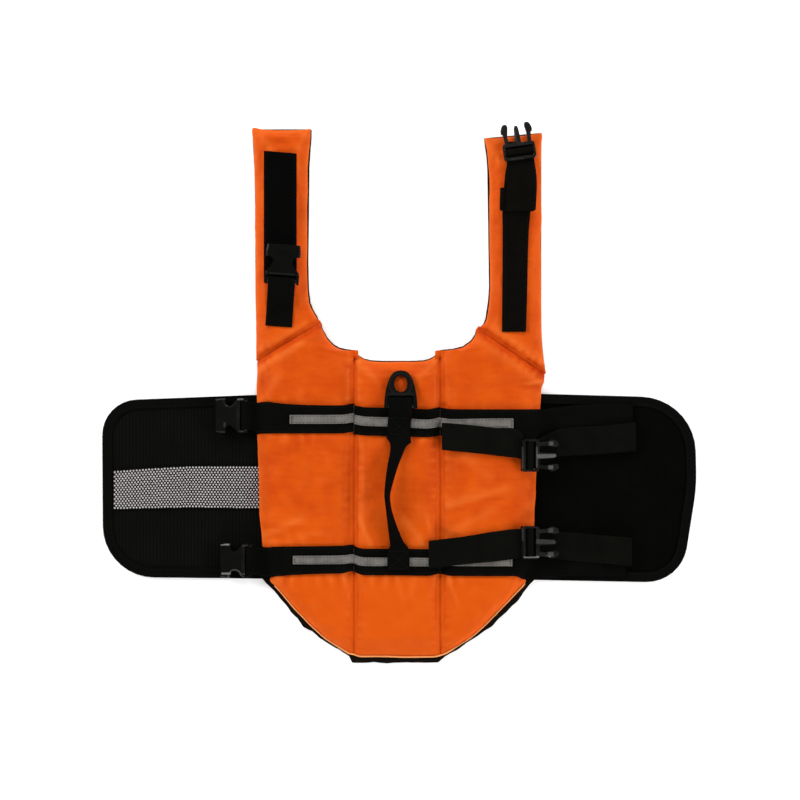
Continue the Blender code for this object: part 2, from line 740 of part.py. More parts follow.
def lining_back():
    """The lining under the back: it shows past the tail and stops short where the wings are sewn in."""
    left, right = [], []
    for y, x_left, x_right in TAIL_LINING:
        left.append((x_left, y))
        right.append((x_right, y))
    for knots, past, side, sign in ((WING_ROOT_LEFT, left, 1, 1.0), (WING_ROOT_RIGHT, right, 2, -1.0)):
        root = [(x + sign * ROOT_ROOM, y) for x, y in wing_root(knots, side)]
        below, above = root[0][1] - ROOT_ROOM_ENDS[0], root[-1][1] + ROOT_ROOM_ENDS[1]
        past += [(root[0][0], below), *root, (root[-1][0], above)]
    for y in (TUCK_SPAN[1], YOKE_ENDS_LEFT[0] - LINING_YOKE_ROOM):
        left.append((table(SIDE_EDGES, y, 1) + YOKE_GAP, y))
    for y in (TUCK_SPAN[1], *TOP_ROWS_RIGHT[:2], YOKE_ENDS_RIGHT[0] - LINING_YOKE_ROOM):
        right.append((table(SIDE_EDGES, y, 2) - YOKE_GAP, y))
    for y, x in reversed(NECKLINE_LEFT):
        y += LINING_PAST
        left.append((max(x + LINING_INSET, yoke_x(YOKE_LEFT, y) + YOKE_GAP), y))
    for y, x in reversed(NECKLINE_RIGHT):
        y += LINING_PAST
        right.append((min(x - LINING_INSET, yoke_x(YOKE_RIGHT, y) - YOKE_GAP), y))
    middle = POCKETS["back_middle"]
    dip = [middle.point(middle.rows[-1], t) for t in ACROSS[-2:0:-1]]
    outline = right + [(x, y + LINING_PAST) for x, y, _ in dip] + left[::-1]
    plate("lining_back", "lining_black", outline, 0.0, LINING)


def lining_neck(name, left_side):
    """The lining under a neck strap, a little past its inner edge and end."""
    rows = sorted(neck_rows(left_side))
    bend = POCKETS[name].bend
    past = LINING_NECK_PAST
    left = [(x - (LINING_NECK_OUTER if left_side else past), y + bend(y, 0.0)) for y, x, _ in rows]
    right = [(x + (past if left_side else LINING_NECK_OUTER), y + bend(y, 1.0)) for y, _, x in rows]
    on_yoke = len(YOKE_ROWS_LEFT)
    if left_side:
        right[:on_yoke] = [(x, y) for (_, y), (_, _, x) in zip(right, rows[:on_yoke])]
        right[on_yoke] = (rows[on_yoke][2], rows[on_yoke][0])
    else:
        left[:on_yoke] = [(x, y) for (_, y), (_, x, _) in zip(left, rows[:on_yoke])]
        left[on_yoke] = (rows[on_yoke][1], rows[on_yoke][0])
    outline = right + [(left[-1][0], left[-1][1] + past)] + left[::-1][1:]
    outline.insert(len(right), (right[-1][0], right[-1][1] + past))
    plate("lining_" + name, "lining_black", outline, 0.0, LINING)


# ---------------------------------------------------------------- wings


def wing_outline(left_side):
    """A wing's outline, anticlockwise, and how many of its points lie on the tucked-in edge."""
    root = wing_root(WING_ROOT_LEFT, 1) if left_side else wing_root(WING_ROOT_RIGHT, 2)
    if left_side:
        outline = rounded([(*root[-1], 0, 0), *WING_LEFT, (*root[0], 0, 0)])
        return outline + root[1:-1], len(root) - 2
    outline = rounded([(*root[0], 0, 0), *WING_RIGHT, (*root[-1], 0, 0)])
    return outline + root[-2:0:-1], len(root) - 2


def wing(side):
    """One wing, thinner along its rim, with a folded binding round its three free edges."""
    outline, rooted = wing_outline(side == "left")
    rim_low, rim_high = BINDING + FOLD_GAP, WING - FOLD_GAP
    rings = [
        at_height(offset(outline, WING_RIM + WING_RIM_STEP), 0.0),
        at_height(offset(outline, WING_RIM), rim_low),
        at_height(offset(outline, BINDING + FOLD_GAP), rim_low),
        at_height(offset(outline, BINDING + FOLD_GAP), rim_high),
        at_height(offset(outline, WING_RIM), rim_high),
        at_height(offset(outline, WING_RIM + WING_RIM_STEP), WING),
    ]
    sweep("wing_" + side, "wing_black", rings)
    free = outline[: len(outline) - rooted]
    total = 2 * BINDING + 2 * FOLD_GAP + (rim_high - rim_low)
    profile = (  # distance inward, height
        (0.0, 0.0),
        (BINDING_WIDTH, 0.0),
        (BINDING_WIDTH, BINDING),
        (BINDING, BINDING),
        (BINDING, total - BINDING),
        (BINDING_WIDTH, total - BINDING),
        (BINDING_WIDTH, total),
        (0.0, total),
    )
    edge = wing_root(WING_ROOT_LEFT, 1) if side == "left" else wing_root(WING_ROOT_RIGHT, 2)
    root = [(y, x) for x, y in edge]
    tracks = []
    for inward, z in profile:
        track = offset(free, inward, closed=False)
        for end in (0, -1):
            track[end] = (table(root, track[end][1], 1), track[end][1])
        tracks.append(at_height(track, z))
    sweep("binding_" + side, "binding_black", [list(section) for section in zip(*tracks)])


def mesh_stripe():
    """The open-mesh stripe across the left wing."""
    low = WING + FOLD_GAP
    left = STRIPE_KNOTS[0][0]
    right = table(SIDE_EDGES, STRIPE_EDGE[0], 1) + STRIPE_EDGE[1]
    columns = []
    for k in range(STRIPE_COLUMNS):
        x = left + (right - left) * k / (STRIPE_COLUMNS - 1)
        columns.append((x, table(STRIPE_KNOTS, x, 1), table(STRIPE_KNOTS, x, 2)))
    under = [[(x, y_low, low), (x, y_high, low)] for x, y_low, y_high in columns]
    over = [[(x, y_low, low + TAPE), (x, y_high, low + TAPE)] for x, y_low, y_high in columns]
    slab("mesh_stripe", "stripe_grey", under, over)


# ---------------------------------------------------------------- webbing


def edges(pocket, y):
    return table(pocket.rows, y, 1), table(pocket.rows, y, 2)


def lifted(point, lift):
    return point[0], point[1], point[2] + lift


def ribbon_rows(path, half, centre, thick, shares=(-1.0, 1.0)):
    """Sections of flat webbing along a path of (x, z); it runs along x and each section lies along y.

    Returns the grids of its two faces. The first face is on the left of the path as it runs."""
    first, second = [], []
    for k, (x, z) in enumerate(path):
        before = path[k - 1] if k else None
        after = path[k + 1] if k + 1 < len(path) else None
        nx, nz = mitre(before, (x, z), after)
        y_mid = centre(k) if callable(centre) else centre
        y_half = half(k) if callable(half) else half
        for face, rise in ((first, thick / 2), (second, -thick / 2)):
            face.append([(x + nx * rise, y_mid + share * y_half, z + nz * rise) for share in shares])
    return first, second


def arc(centre_x, centre_z, radius, start, end, steps):
    """Points (x, z) of an arc between two angles in degrees."""
    turns = (math.radians(start + (end - start) * k / steps) for k in range(steps + 1))
    return [(centre_x + radius * math.cos(a), centre_z + radius * math.sin(a)) for a in turns]


def band(name):
    """A band sewn over the three back pockets; its left end is looped round a buckle's bar, its right end
    is sewn along the wing."""
    spec = BANDS[name]
    bar_x, bar_y = spec["buckle"]
    path = [(bar_x + run, z) for run, z in BAND_LOOP_FOOT]
    path += arc(bar_x, SOCKET_BAR_HEIGHT, LOOP_RADIUS, *BAND_LOOP_ARC)
    path += [(bar_x + run, z) for run, z in BAND_LOOP_RISE]
    over, under = ribbon_rows(path, LOOP_HALF, bar_y, WEB, BAND_LOOP_SHARES)
    for index, pocket in enumerate(BACK):
        rows = [(spec[key][index], *edges(pocket, spec[key][index])) for key in EDGE_KEYS]
        for t in pocket.across:
            points = [pocket.point(row, t) for row in rows]
            under.append([lifted(point, GAP) for point in points])
            over.append([lifted(point, GAP + WEB) for point in points])
    rim = over[-1]
    for run, z in BAND_STEP:
        under.append([(x + run, y, z) for x, y, _ in rim])
        over.append([(x + run + BAND_STEP_LEAN, y, z + WEB) for x, y, _ in rim])
    low, high = spec["wing"]
    for x in (BAND_STRAIGHT, spec["wing_end"]):
        ys = [low + share * (high - low) for share in (0.0, 1 / 3, 2 / 3, 1.0)]
        under.append([(x, y, WING_REST) for y in ys])
        over.append([(x, y, WING_REST + WEB) for y in ys])
    slab("band_" + name, "webbing_black", under, over)


def tape(name):
    """Reflective tape sewn along a band, cut off square at both ends."""
    spec = BANDS[name]
    low, high = spec["tape_ends"]
    columns = []
    for index, pocket in enumerate(BACK):
        rows = [(spec[key][index], *edges(pocket, spec[key][index])) for key in ("tape_low", "tape_high")]
        columns += [[Vector(pocket.point(row, t)) for row in rows] for t in pocket.across]
    ends = []
    for end in (low, high):
        pairs = ((a, b) for row in zip(*columns) for a, b in zip(row, row[1:]) if a.x <= end < b.x)
        ends.append([a.lerp(b, (end - a.x) / (b.x - a.x)) for a, b in pairs])
    inside = [c for c in columns if all(low + TAPE_CLEAR < point.x < high - TAPE_CLEAR for point in c)]
    columns = [ends[0], *inside, ends[1]]
    under = [[lifted(point, 2 * GAP + WEB) for point in column] for column in columns]
    over = [[lifted(point, 2 * GAP + WEB + TAPE) for point in column] for column in columns]
    slab("tape_" + name, "tape_grey", under, over)


def rest_height(x, y):
    """Top of what lies at a point of the back or of a wing: padding or wing, then band, then tape."""
    top, index = WING_REST - GAP, 0 if x < 0 else 2
    for k, pocket in enumerate(BACK):
        left, right = edges(pocket, y)
        if left <= x <= right:
            top, index = pocket.height(x, y), k
    for spec in BANDS.values():
        if spec["low"][index] - BAND_MARGIN <= y <= spec["high"][index] + BAND_MARGIN:
            top += GAP + WEB
        if spec["tape_low"][index] - TAPE_MARGIN <= y <= spec["tape_high"][index] + TAPE_MARGIN:
            top += (GAP + TAPE) * (spec["tape_ends"][0] < x < spec["tape_ends"][1])
    return top


def laid_height(x, y_mid, half, reach=12.0):
    """Height of the middle line of stiff webbing laid across whatever is near x."""
    xs = [x + reach * share for share in (-1.0, -0.5, 0.0, 0.5, 1.0)]
    ys = [y_mid + half * step / 3 for step in range(-3, 4)]
    return max(rest_height(spot_x, spot_y) for spot_x in xs for spot_y in ys) + GAP + WEB / 2


def local_path(weave, start, height, pitch):
    """Turns a weave in a plug's own u and w into places along the strap and heights."""
    cos, sin = math.cos(math.radians(pitch)), math.sin(math.radians(pitch))
    return [(start + u * cos - w * sin, height + u * sin + w * cos) for u, w in weave]


def girth_strap(name):
    """A free girth strap: its tail over the back, woven through the plug, then out to a fold on the wing."""
    spec = GIRTH[name]
    plug_x, _, plug_z = spec["plug"]
    line = spec["line"]
    tail = line[0][0]
    fold = line[-1][0]
    steps = 9
    path = []
    for k in range(steps):
        x = tail + (plug_x - STRAP_LANDING - tail) * k / (steps - 1)
        path.append((x, laid_height(x, table(line, x, 1), STRAP_HALF)))
    path += local_path(WEAVE_THROUGH, plug_x, plug_z, spec["pitch"])
    low = WING_REST + WEB + GAP + WEB / 2
    high = low + WEB + GAP
    hem = fold - STRAP_HEM
    path += [(STRAP_ON_WING, low), (hem - STRAP_HEM_RISE, low), (hem, high), (fold - STRAP_FOLD, high)]
    path += arc(fold, (low + high) / 2, (high - low) / 2, 90.0, -90.0, 4)
    path += [(fold - STRAP_FOLD, low), (hem + STRAP_HEM_END, low)]

    def centre(k):
        return table(line, path[k][0], 1)

    def half(k):
        narrow = plug_x + STRAP_NARROW[0] < path[k][0] < plug_x + STRAP_NARROW[1]
        return STRAP_HALF_IN_PLUG if narrow else STRAP_HALF

    over, under = ribbon_rows(path, half, centre, WEB)
    slab("strap_" + name, "webbing_black", under, over)


# ---------------------------------------------------------------- neck webbing


def turned(point, pivot, degrees):
    """Turns a point about an upright line through the pivot."""
    angle = math.radians(degrees)
    dx, dy = point[0] - pivot[0], point[1] - pivot[1]
    x = pivot[0] + dx * math.cos(angle) - dy * math.sin(angle)
    y = pivot[1] + dx * math.sin(angle) + dy * math.cos(angle)
    return x, y, point[2]


def swapped(grid):
    """Turns webbing made along x into webbing along y."""
    return [[(y, x, z) for x, y, z in row] for row in grid]


def neck_patch():
    """The hook-and-loop tape sewn down the left neck strap, on the strap's own curve."""
    pocket = POCKETS["neck_left"]
    left, right = NECK_PATCH["x"]
    low = NECK_PATCH["low"]
    high_left, high_right = NECK_PATCH["high"]
    along, across = NECK_PATCH_CELLS
    under, over = [], []
    for i in range(along + 1):
        row = []
        for j in range(across + 1):
            top = high_left + (high_right - high_left) * j / across
            x, y = left + (right - left) * j / across, low + (top - low) * i / along
            row.append((x, y, pocket.height(x, y)))
        under.append([lifted(point, NECK_PATCH_GAP) for point in row])
        over.append([lifted(point, NECK_PATCH_GAP + WEB) for point in row])
    slab("patch_neck", "webbing_black", under, over)


def neck_socket_web():
    """Short webbing sewn to the left neck strap and looped round its socket's bar."""
    bar_x, bar_y, bar_z = NECK_SOCKET
    path = [(y, NECK_REST + rise) for y, rise in NECK_WEB_FOOT]
    path += arc(bar_y, bar_z, LOOP_RADIUS, *NECK_WEB_ARC)
    path += [(y, NECK_REST + rise) for y, rise in NECK_WEB_BACK]
    over, under = (swapped(grid) for grid in ribbon_rows(path, NECK_WEB_HALF, bar_x, WEB))
    grids = []
    for grid in (under, over):
        grids.append([[turned(point, NECK_SOCKET, NECK_SOCKET_TURN) for point in row] for row in grid])
    slab("web_neck_left", "webbing_black", *grids)


def neck_strap_right():
    """The right neck strap's webbing: sewn at its foot, round the plug's bar, back down to a folded hem."""
    plug_x, plug_y, plug_z = NECK_PLUG
    hem, tail = NECK_REST + WEB + GAP, NECK_REST + 2 * (WEB + GAP)
    fold_y, hem_end = NECK_HEM
    path = [(y, NECK_REST + rise) for y, rise in NECK_STANDING]
    path += local_path(WEAVE_BACK, plug_y, plug_z, NECK_PLUG_PITCH)
    path += [(y, tail + rise) for y, rise in NECK_TAIL]
    turn_in = len(path)
    path += arc(fold_y, (hem + tail) / 2, (tail - hem) / 2, 90.0, 270.0, 4)
    path.append((hem_end, hem))

    def centre(k):
        y = path[k][0]
        if k < len(NECK_STANDING):
            return table(NECK_STANDING_LINE, y, 1)
        if k <= turn_in:
            return table(NECK_TAIL_LINE, y, 1)
        return NECK_TAIL_LINE[0][1] - NECK_HEM_LEAN * (k - turn_in) / (len(path) - 1 - turn_in)

    def bent(point):
        start, end = NECK_BEND
        share = clamp((point[1] - start) / (end - start))
        return turned(point, NECK_PLUG, NECK_PLUG_TURN * share)

    over, under = (swapped(grid) for grid in ribbon_rows(path, STRAP_HALF_IN_PLUG, centre, WEB))
    over, under = ([[bent(point) for point in row] for row in grid] for grid in (over, under))
    slab("strap_neck_right", "webbing_black", under, over)


# ---------------------------------------------------------------- handle


def handle():
    """One length of webbing: looped round the lead ring's bar, sewn over the upper band, folded in half and
    turned on edge where it is gripped, and sewn flat over the lower band."""
    sections = []
    places = [Vector((x, y, z)) for y, x, z, *_ in HANDLE]
    for k, (_, _, _, width, thick, roll) in enumerate(HANDLE):
        along = (places[min(k + 1, len(places) - 1)] - places[max(k - 1, 0)]).normalized()
        side = Vector((1.0, 0.0, 0.0))
        side = (side - along * side.dot(along)).normalized()
        side = Matrix.Rotation(math.radians(-roll), 3, along) @ side
        up = along.cross(side)
        corners = ((-1, -1), (1, -1), (1, 1), (-1, 1))
        sections.append([places[k] + side * (width / 2 * a) + up * (thick / 2 * b) for a, b in corners])
    sweep("handle_web", "webbing_black", sections)


# ---------------------------------------------------------------- hard parts


def socket(name, place, heading, stretch=1.0):
    """The female half of a side-release buckle, its origin on its bar."""
    rings = []
    chamfer = SOCKET_CHAMFER
    for u, half_width, half_depth in SOCKET_SECTIONS:
        corners = []
        for v, w, first_side in ((1, -1, True), (1, 1, False), (-1, 1, True), (-1, -1, False)):
            along_v = (v * (half_width - chamfer), w * half_depth)
            along_w = (v * half_width, w * (half_depth - chamfer))
            corners += [along_v, along_w] if first_side else [along_w, along_v]
        rings.append([(u * stretch, v, w) for v, w in corners])
    body = sweep(name, "plastic_black", rings, 30.0)
    start, half, depth = SOCKET_CAVITY
    through = max(thick for _, _, thick in SOCKET_SECTIONS) + CUT_PAST
    mouth = SOCKET_LENGTH * stretch + CUT_PAST
    cuts = [block(name + "_cavity", (start * stretch, mouth), (-half, half), (-depth, depth))]
    joins = [rod(name + "_bar", BAR_RADIUS, LOOP_HALF + BAR_SEAT)]
    for side, label in ((-1, "a"), (1, "b")):
        notch = [(u * stretch, side * v) for u, v in SOCKET_NOTCH[:: -side]]
        cuts.append(plate(name + "_notch_" + label, "plastic_black", notch, -through, through))
        arm = sorted((side * (LOOP_HALF + SOCKET_ARM_ROOM), side * BUCKLE_HALF))
        joins.append(block(name + "_arm_" + label, SOCKET_ARM, arm, (-SOCKET_ARM_DEPTH, SOCKET_ARM_DEPTH)))
    return seat(fuse(body, cuts, joins), place, heading, 0.0)


def plug(name, place, heading, pitch):
    """The male half: a frame with a bar for the webbing, a centre prong and two springy arms."""
    corners = ((0.0, -PLUG_HALF), (PLUG_FRAME, -PLUG_HALF), (PLUG_FRAME, PLUG_HALF), (0.0, PLUG_HALF))
    frame_outline = rounded([(u, v, PLUG_CORNER, 3) for u, v in corners])
    frame = plate(name, "plastic_black", frame_outline, 0.0, PLUG_THICK)
    start, end, half = PLUG_WINDOW
    cuts = [block(name + "_window", (start, end), (-half, half), (-CUT_PAST, PLUG_THICK + CUT_PAST))]
    prong = [(u, -v) for u, v in PLUG_PRONG] + list(PLUG_PRONG[::-1])
    joins = [
        block(name + "_bar", PLUG_BAR[:2], (-half - PLUG_BAR_SEAT, half + PLUG_BAR_SEAT), PLUG_BAR[2:]),
        plate(name + "_prong", "plastic_black", prong, *PLUG_PRONG_DEPTH),
        plate(name + "_arm_a", "plastic_black", PLUG_ARM, *PLUG_ARM_DEPTH),
        plate(name + "_arm_b", "plastic_black", [(u, -v) for u, v in PLUG_ARM[::-1]], *PLUG_ARM_DEPTH),
    ]
    return seat(fuse(frame, cuts, joins), place, heading, pitch)


def lead_ring():
    """The plastic lead ring: an arch-shaped plate with an oval hole, hung by its bar in the handle's loop."""
    tail = -RING_BAR_RADIUS
    steps = 10
    side = []
    for k in range(steps + 1):
        angle = math.pi / 2 * k / steps
        reach = (RING_TIP - tail) * math.sin(angle) ** RING_ARCH[0]
        side.append((tail + reach, RING_HALF * math.cos(angle) ** RING_ARCH[1]))
    outline = [(u, -v) for u, v in side[:-1]] + [(u, v) for u, v in side[::-1]]
    body = plate("lead_ring", "plastic_black", outline, -RING_THICK / 2, RING_THICK / 2)
    middle, long_half, short_half = RING_HOLE
    sides = 20
    turns = [2 * math.pi * k / sides for k in range(sides)]
    hole = [(middle + long_half * math.cos(a), short_half * math.sin(a)) for a in turns]
    slot_end, slot_half = RING_SLOT
    through = (-RING_THICK, RING_THICK)
    cuts = [
        plate("lead_ring_hole", "plastic_black", hole, *through),
        block("lead_ring_slot", (tail - CUT_PAST, slot_end), (-slot_half, slot_half), through),
    ]
    joins = [rod("lead_ring_bar", RING_BAR_RADIUS, slot_half + BAR_SEAT)]
    seat(fuse(body, cuts, joins), RING_BAR, 90.0, RING_PITCH)


def main():
    for thing in list(bpy.data.objects):
        bpy.data.objects.remove(thing)
    for name, pocket in POCKETS.items():
        pocket.build(name)
    lining_back()
    lining_neck("neck_left", True)
    lining_neck("neck_right", False)
    for side in ("left", "right"):
        wing(side)
    mesh_stripe()
    for name, spec in BANDS.items():
        band(name)
        tape(name)
        girth_strap(name)
        socket("socket_" + name, (*spec["buckle"], SOCKET_BAR_HEIGHT), 180.0)
        plug("plug_" + name, GIRTH[name]["plug"], 0.0, GIRTH[name]["pitch"])
    neck_patch()
    neck_socket_web()
    neck_strap_right()
    socket("socket_neck", NECK_SOCKET, 90.0 + NECK_SOCKET_TURN, SOCKET_NECK_STRETCH)
    plug("plug_neck", NECK_PLUG, 90.0 + NECK_PLUG_TURN, NECK_PLUG_PITCH)
    handle()
    lead_ring()


main()
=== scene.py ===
"""Looks of a dog life jacket laid flat, face up: orange foam pads, black webbing, mesh wings and buckles.

Lengths are metres; MM turns millimetres into them. +X is the wearer's right as laid out, +Y points to the
neck and +Z is up. Soft pieces start from merged copies of the frame's solids, and hard parts keep theirs."""

import math

import bmesh
import bpy
from mathutils import Matrix, Vector, noise
from mathutils.bvhtree import BVHTree


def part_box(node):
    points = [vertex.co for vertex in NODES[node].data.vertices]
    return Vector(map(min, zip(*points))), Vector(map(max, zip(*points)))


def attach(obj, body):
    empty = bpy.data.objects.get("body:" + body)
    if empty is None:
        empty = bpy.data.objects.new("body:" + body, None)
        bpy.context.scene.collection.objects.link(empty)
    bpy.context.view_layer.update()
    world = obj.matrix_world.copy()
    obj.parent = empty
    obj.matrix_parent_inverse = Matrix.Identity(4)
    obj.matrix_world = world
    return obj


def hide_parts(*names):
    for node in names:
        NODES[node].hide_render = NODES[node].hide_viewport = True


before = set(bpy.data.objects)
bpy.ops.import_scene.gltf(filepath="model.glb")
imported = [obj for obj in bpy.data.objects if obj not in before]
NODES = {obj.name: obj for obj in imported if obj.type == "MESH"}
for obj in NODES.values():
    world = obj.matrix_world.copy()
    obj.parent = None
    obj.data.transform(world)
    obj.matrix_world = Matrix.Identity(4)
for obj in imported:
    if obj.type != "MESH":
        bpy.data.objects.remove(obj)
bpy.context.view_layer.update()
MM = 0.001

PADS = ("back_left", "back_middle", "back_right", "neck_left", "neck_right")
UP = Vector((0.0, 0.0, 1.0))
HIGH = 0.1  # a height above everything, from which surfaces are probed


# ---------------------------------------------------------------- finishes


class Finish:
    """One material. Its patterns read Object coordinates, whose unit is the metre."""

    shade = 0.83  # brings the colours below down to cloth under strong studio light

    def __init__(self, name, colour, roughness, specular, **sockets):
        self.made = bpy.data.materials.new(name)
        self.made.use_nodes = True
        self.tree = self.made.node_tree
        self.shader = self.tree.nodes["Principled BSDF"]
        self.place = self.tree.nodes.new("ShaderNodeTexCoord").outputs["Object"]
        self.put("Base Color", self.shaded(colour))
        self.put("Roughness", roughness)
        self.put("Specular IOR Level", specular)
        for socket, value in sockets.items():
            self.put(socket.replace("_", " "), value)

    def shaded(self, colour):
        return (*[c * self.shade for c in colour], 1.0)

    def put(self, socket, value):
        """Sets a socket of the shader, or links an output to it."""
        self.feed(self.shader.inputs[socket], value)

    def feed(self, socket, value):
        if isinstance(value, bpy.types.NodeSocket):
            self.tree.links.new(value, socket)
        else:
            socket.default_value = value

    def calc(self, operation, *values):
        made = self.tree.nodes.new("ShaderNodeMath")
        made.operation = operation
        for socket, value in zip(made.inputs, values):
            self.feed(socket, value)
        return made.outputs[0]

    def times(self, first, second):
        return self.calc("MULTIPLY", first, second)

    def axis(self, name, turn=0.0):
        """One Object coordinate, in the plan turned by some degrees."""
        place = self.place
        if turn:
            mapping = self.tree.nodes.new("ShaderNodeMapping")
            mapping.inputs["Rotation"].default_value = (0.0, 0.0, math.radians(turn))
            self.feed(mapping.inputs["Vector"], place)
            place = mapping.outputs[0]
        split = self.tree.nodes.new("ShaderNodeSeparateXYZ")
        self.feed(split.inputs[0], place)
        return split.outputs[name]

    def ripple(self, coordinate, pitch, phase=0.0):
        """A sine of the given pitch, from 0 to 1."""
        turn = self.calc("MULTIPLY_ADD", coordinate, 2 * math.pi / pitch, phase)
        return self.calc("MULTIPLY_ADD", self.calc("SINE", turn), 0.5, 0.5)

    def weave(self, pitch):
        """A plain weave of threads both ways, from 0 to 1."""
        return self.times(self.ripple(self.axis("X"), pitch), self.ripple(self.axis("Y"), pitch))

    def cloud(self, size, detail=2.0, stretch=(1.0, 1.0, 1.0), roughness=0.5):
        """Noise from 0 to 1 whose blotches are about this size."""
        mapping = self.tree.nodes.new("ShaderNodeMapping")
        mapping.inputs["Scale"].default_value = [1.0 / (size * s) for s in stretch]
        self.feed(mapping.inputs["Vector"], self.place)
        made = self.tree.nodes.new("ShaderNodeTexNoise")
        made.inputs["Scale"].default_value = 1.0
        made.inputs["Detail"].default_value = detail
        made.inputs["Roughness"].default_value = roughness
        self.feed(made.inputs["Vector"], mapping.outputs[0])
        return made.outputs[0]

    def blend(self, share, first, second):
        """A colour between two, by a share."""
        made = self.tree.nodes.new("ShaderNodeMix")
        made.data_type = "RGBA"
        self.feed(made.inputs["Factor"], share)
        for socket, colour in (("A", first), ("B", second)):
            value = colour if isinstance(colour, bpy.types.NodeSocket) else self.shaded(colour)
            self.feed(next(s for s in made.inputs if s.name == socket and s.type == "RGBA"), value)
        return next(s for s in made.outputs if s.type == "RGBA")

    def span(self, value, low, high, to_low=0.0, to_high=1.0):
        made = self.tree.nodes.new("ShaderNodeMapRange")
        for socket, number in zip(made.inputs, (value, low, high, to_low, to_high)):
            self.feed(socket, number)
        return made.outputs[0]

    def relief(self, *layers):
        """Stacks bumps: (height from 0 to 1, depth in metres)."""
        normal = None
        for height, depth in layers:
            made = self.tree.nodes.new("ShaderNodeBump")
            made.inputs["Distance"].default_value = depth
            self.feed(made.inputs["Height"], height)
            if normal:
                self.feed(made.inputs["Normal"], normal)
            normal = made.outputs[0]
        self.put("Normal", normal)
        return self


# Painted shade for the pads' creases and seams, and painted highlight for their ridges and rims.
PAINTED_CREASE_SHADE = (0.40, 0.019, 0.0009)
PAINTED_RIDGE_HIGHLIGHT = (0.90, 0.21, 0.035)
SHEEN_TINT = (1.0, 0.45, 0.12, 1.0)


def shell_cloth(name, deep, pale):
    """Orange oxford nylon over foam: a fine plain weave, painted a little lighter towards the tail, where
    more light falls.
    """
    cloth = Finish(name, deep, 0.62, 0.05, Sheen_Weight=0.02, Sheen_Roughness=0.4, Sheen_Tint=SHEEN_TINT)
    threads = cloth.weave(0.9 * MM)
    slubs = cloth.cloud(3.5 * MM, 3.0, (5.0, 1.0, 1.0))
    # painted light: the cloth is painted lighter towards the tail
    painted_tail_light = cloth.span(cloth.axis("Y"), 0.01, -0.09, 0.0, 0.8)
    blotches = cloth.times(cloth.cloud(20 * MM, 5.0), 0.75)
    share = cloth.calc("ADD", blotches, cloth.times(slubs, 0.25))
    share = cloth.calc("ADD", cloth.span(share, 0.32, 0.68), painted_tail_light)
    tone = cloth.blend(cloth.calc("MINIMUM", share, 1.0), deep, pale)
    # Painted light and shade kept on the mesh: painted shade below 0 and painted highlight above 0, with a
    # little random tone.
    painted_shading = cloth.tree.nodes.new("ShaderNodeAttribute")
    painted_shading.attribute_name = "painted_shading"
    tone = cloth.blend(cloth.span(painted_shading.outputs["Fac"], 0.0, -1.0), tone, PAINTED_CREASE_SHADE)
    tone = cloth.blend(cloth.span(painted_shading.outputs["Fac"], 0.0, 1.0), tone, PAINTED_RIDGE_HIGHLIGHT)
    thread_colour = tuple(c * 1.2 for c in pale)
    cloth.put("Base Color", cloth.blend(cloth.times(threads, 0.2), tone, thread_colour))
    cloth.put("Roughness", cloth.span(cloth.cloud(9 * MM), 0.3, 0.7, 0.52, 0.7))
    cloth.relief(
        (cloth.cloud(15 * MM, 2.0), 0.8 * MM),
        (cloth.cloud(4.5 * MM, 3.0), 0.25 * MM),
        (threads, 0.05 * MM),
    )
    return cloth.made


def webbing_cloth(name, along, turn=0.0, colour=(0.0016, 0.0016, 0.0013)):
    """Flat woven webbing: ribs along it, crossed by the picks of its weave."""
    cloth = Finish(name, colour, 0.8, 0.02)
    across = "Y" if along == "X" else "X"
    ribs = cloth.ripple(cloth.axis(across, turn), 1.35 * MM)
    shift = cloth.times(cloth.calc("GREATER_THAN", ribs, 0.5), math.pi)
    run = cloth.calc("MULTIPLY_ADD", cloth.axis(along, turn), 2 * math.pi / (1.9 * MM), shift)
    picks = cloth.calc("MULTIPLY_ADD", cloth.calc("SINE", run), 0.5, 0.5)
    weave = cloth.times(ribs, cloth.calc("MULTIPLY_ADD", picks, 0.6, 0.4))
    lighter = tuple(c * 2.6 + 0.001 for c in colour)
    worn_and_painted_shading = cloth.times(weave, cloth.span(cloth.cloud(14 * MM), 0.35, 0.75, 0.2, 1.0))
    cloth.put("Base Color", cloth.blend(worn_and_painted_shading, colour, lighter))
    cloth.put("Roughness", cloth.span(cloth.cloud(7 * MM), 0.3, 0.7, 0.74, 0.88))
    cloth.relief((cloth.cloud(9 * MM), 0.3 * MM), (weave, 0.2 * MM))
    return cloth.made


def tape_cloth():
    """Grey reflective tape: fine glass beads on a woven backing, dulled in patches."""
    tape = Finish("reflective_grey", (0.14, 0.13, 0.12), 0.5, 0.15)
    beads = tape.weave(1.1 * MM)
    dulled = tape.span(tape.cloud(9 * MM, 4.0), 0.35, 0.65)
    tone = tape.blend(dulled, (0.108, 0.100, 0.090), (0.172, 0.162, 0.148))
    tape.put("Base Color", tape.blend(tape.times(beads, 0.3), tone, (0.26, 0.25, 0.24)))
    tape.put("Roughness", tape.span(tape.cloud(6 * MM), 0.3, 0.7, 0.42, 0.6))
    tape.relief((tape.cloud(7 * MM), 0.3 * MM), (beads, 0.06 * MM))
    return tape.made


def wing_cloth(name, ribbed):
    """Black stretch mesh, ribbed on one wing and dotted on the other."""
    cloth = Finish(name, (0.002, 0.002, 0.0018), 0.9, 0.02)
    if ribbed:
        ribs = cloth.ripple(cloth.axis("X"), 3.2 * MM)
        knit = cloth.times(ribs, cloth.ripple(cloth.axis("Y"), 1.6 * MM))
        dark, pale = (0.0026, 0.0026, 0.0022), (0.0085, 0.0085, 0.0075)
    else:
        rows = cloth.ripple(cloth.axis("Y"), 2.4 * MM)
        knit = cloth.times(rows, cloth.ripple(cloth.axis("X"), 2.4 * MM))
        dark, pale = (0.0010, 0.0010, 0.0008), (0.0036, 0.0036, 0.003)
    soft = cloth.span(cloth.cloud(40 * MM), 0.3, 0.7, 0.3, 1.0)
    cloth.put("Base Color", cloth.blend(cloth.times(knit, soft), dark, pale))
    cloth.relief((cloth.cloud(22 * MM), 0.8 * MM), (knit, 0.2 * MM))
    return cloth.made


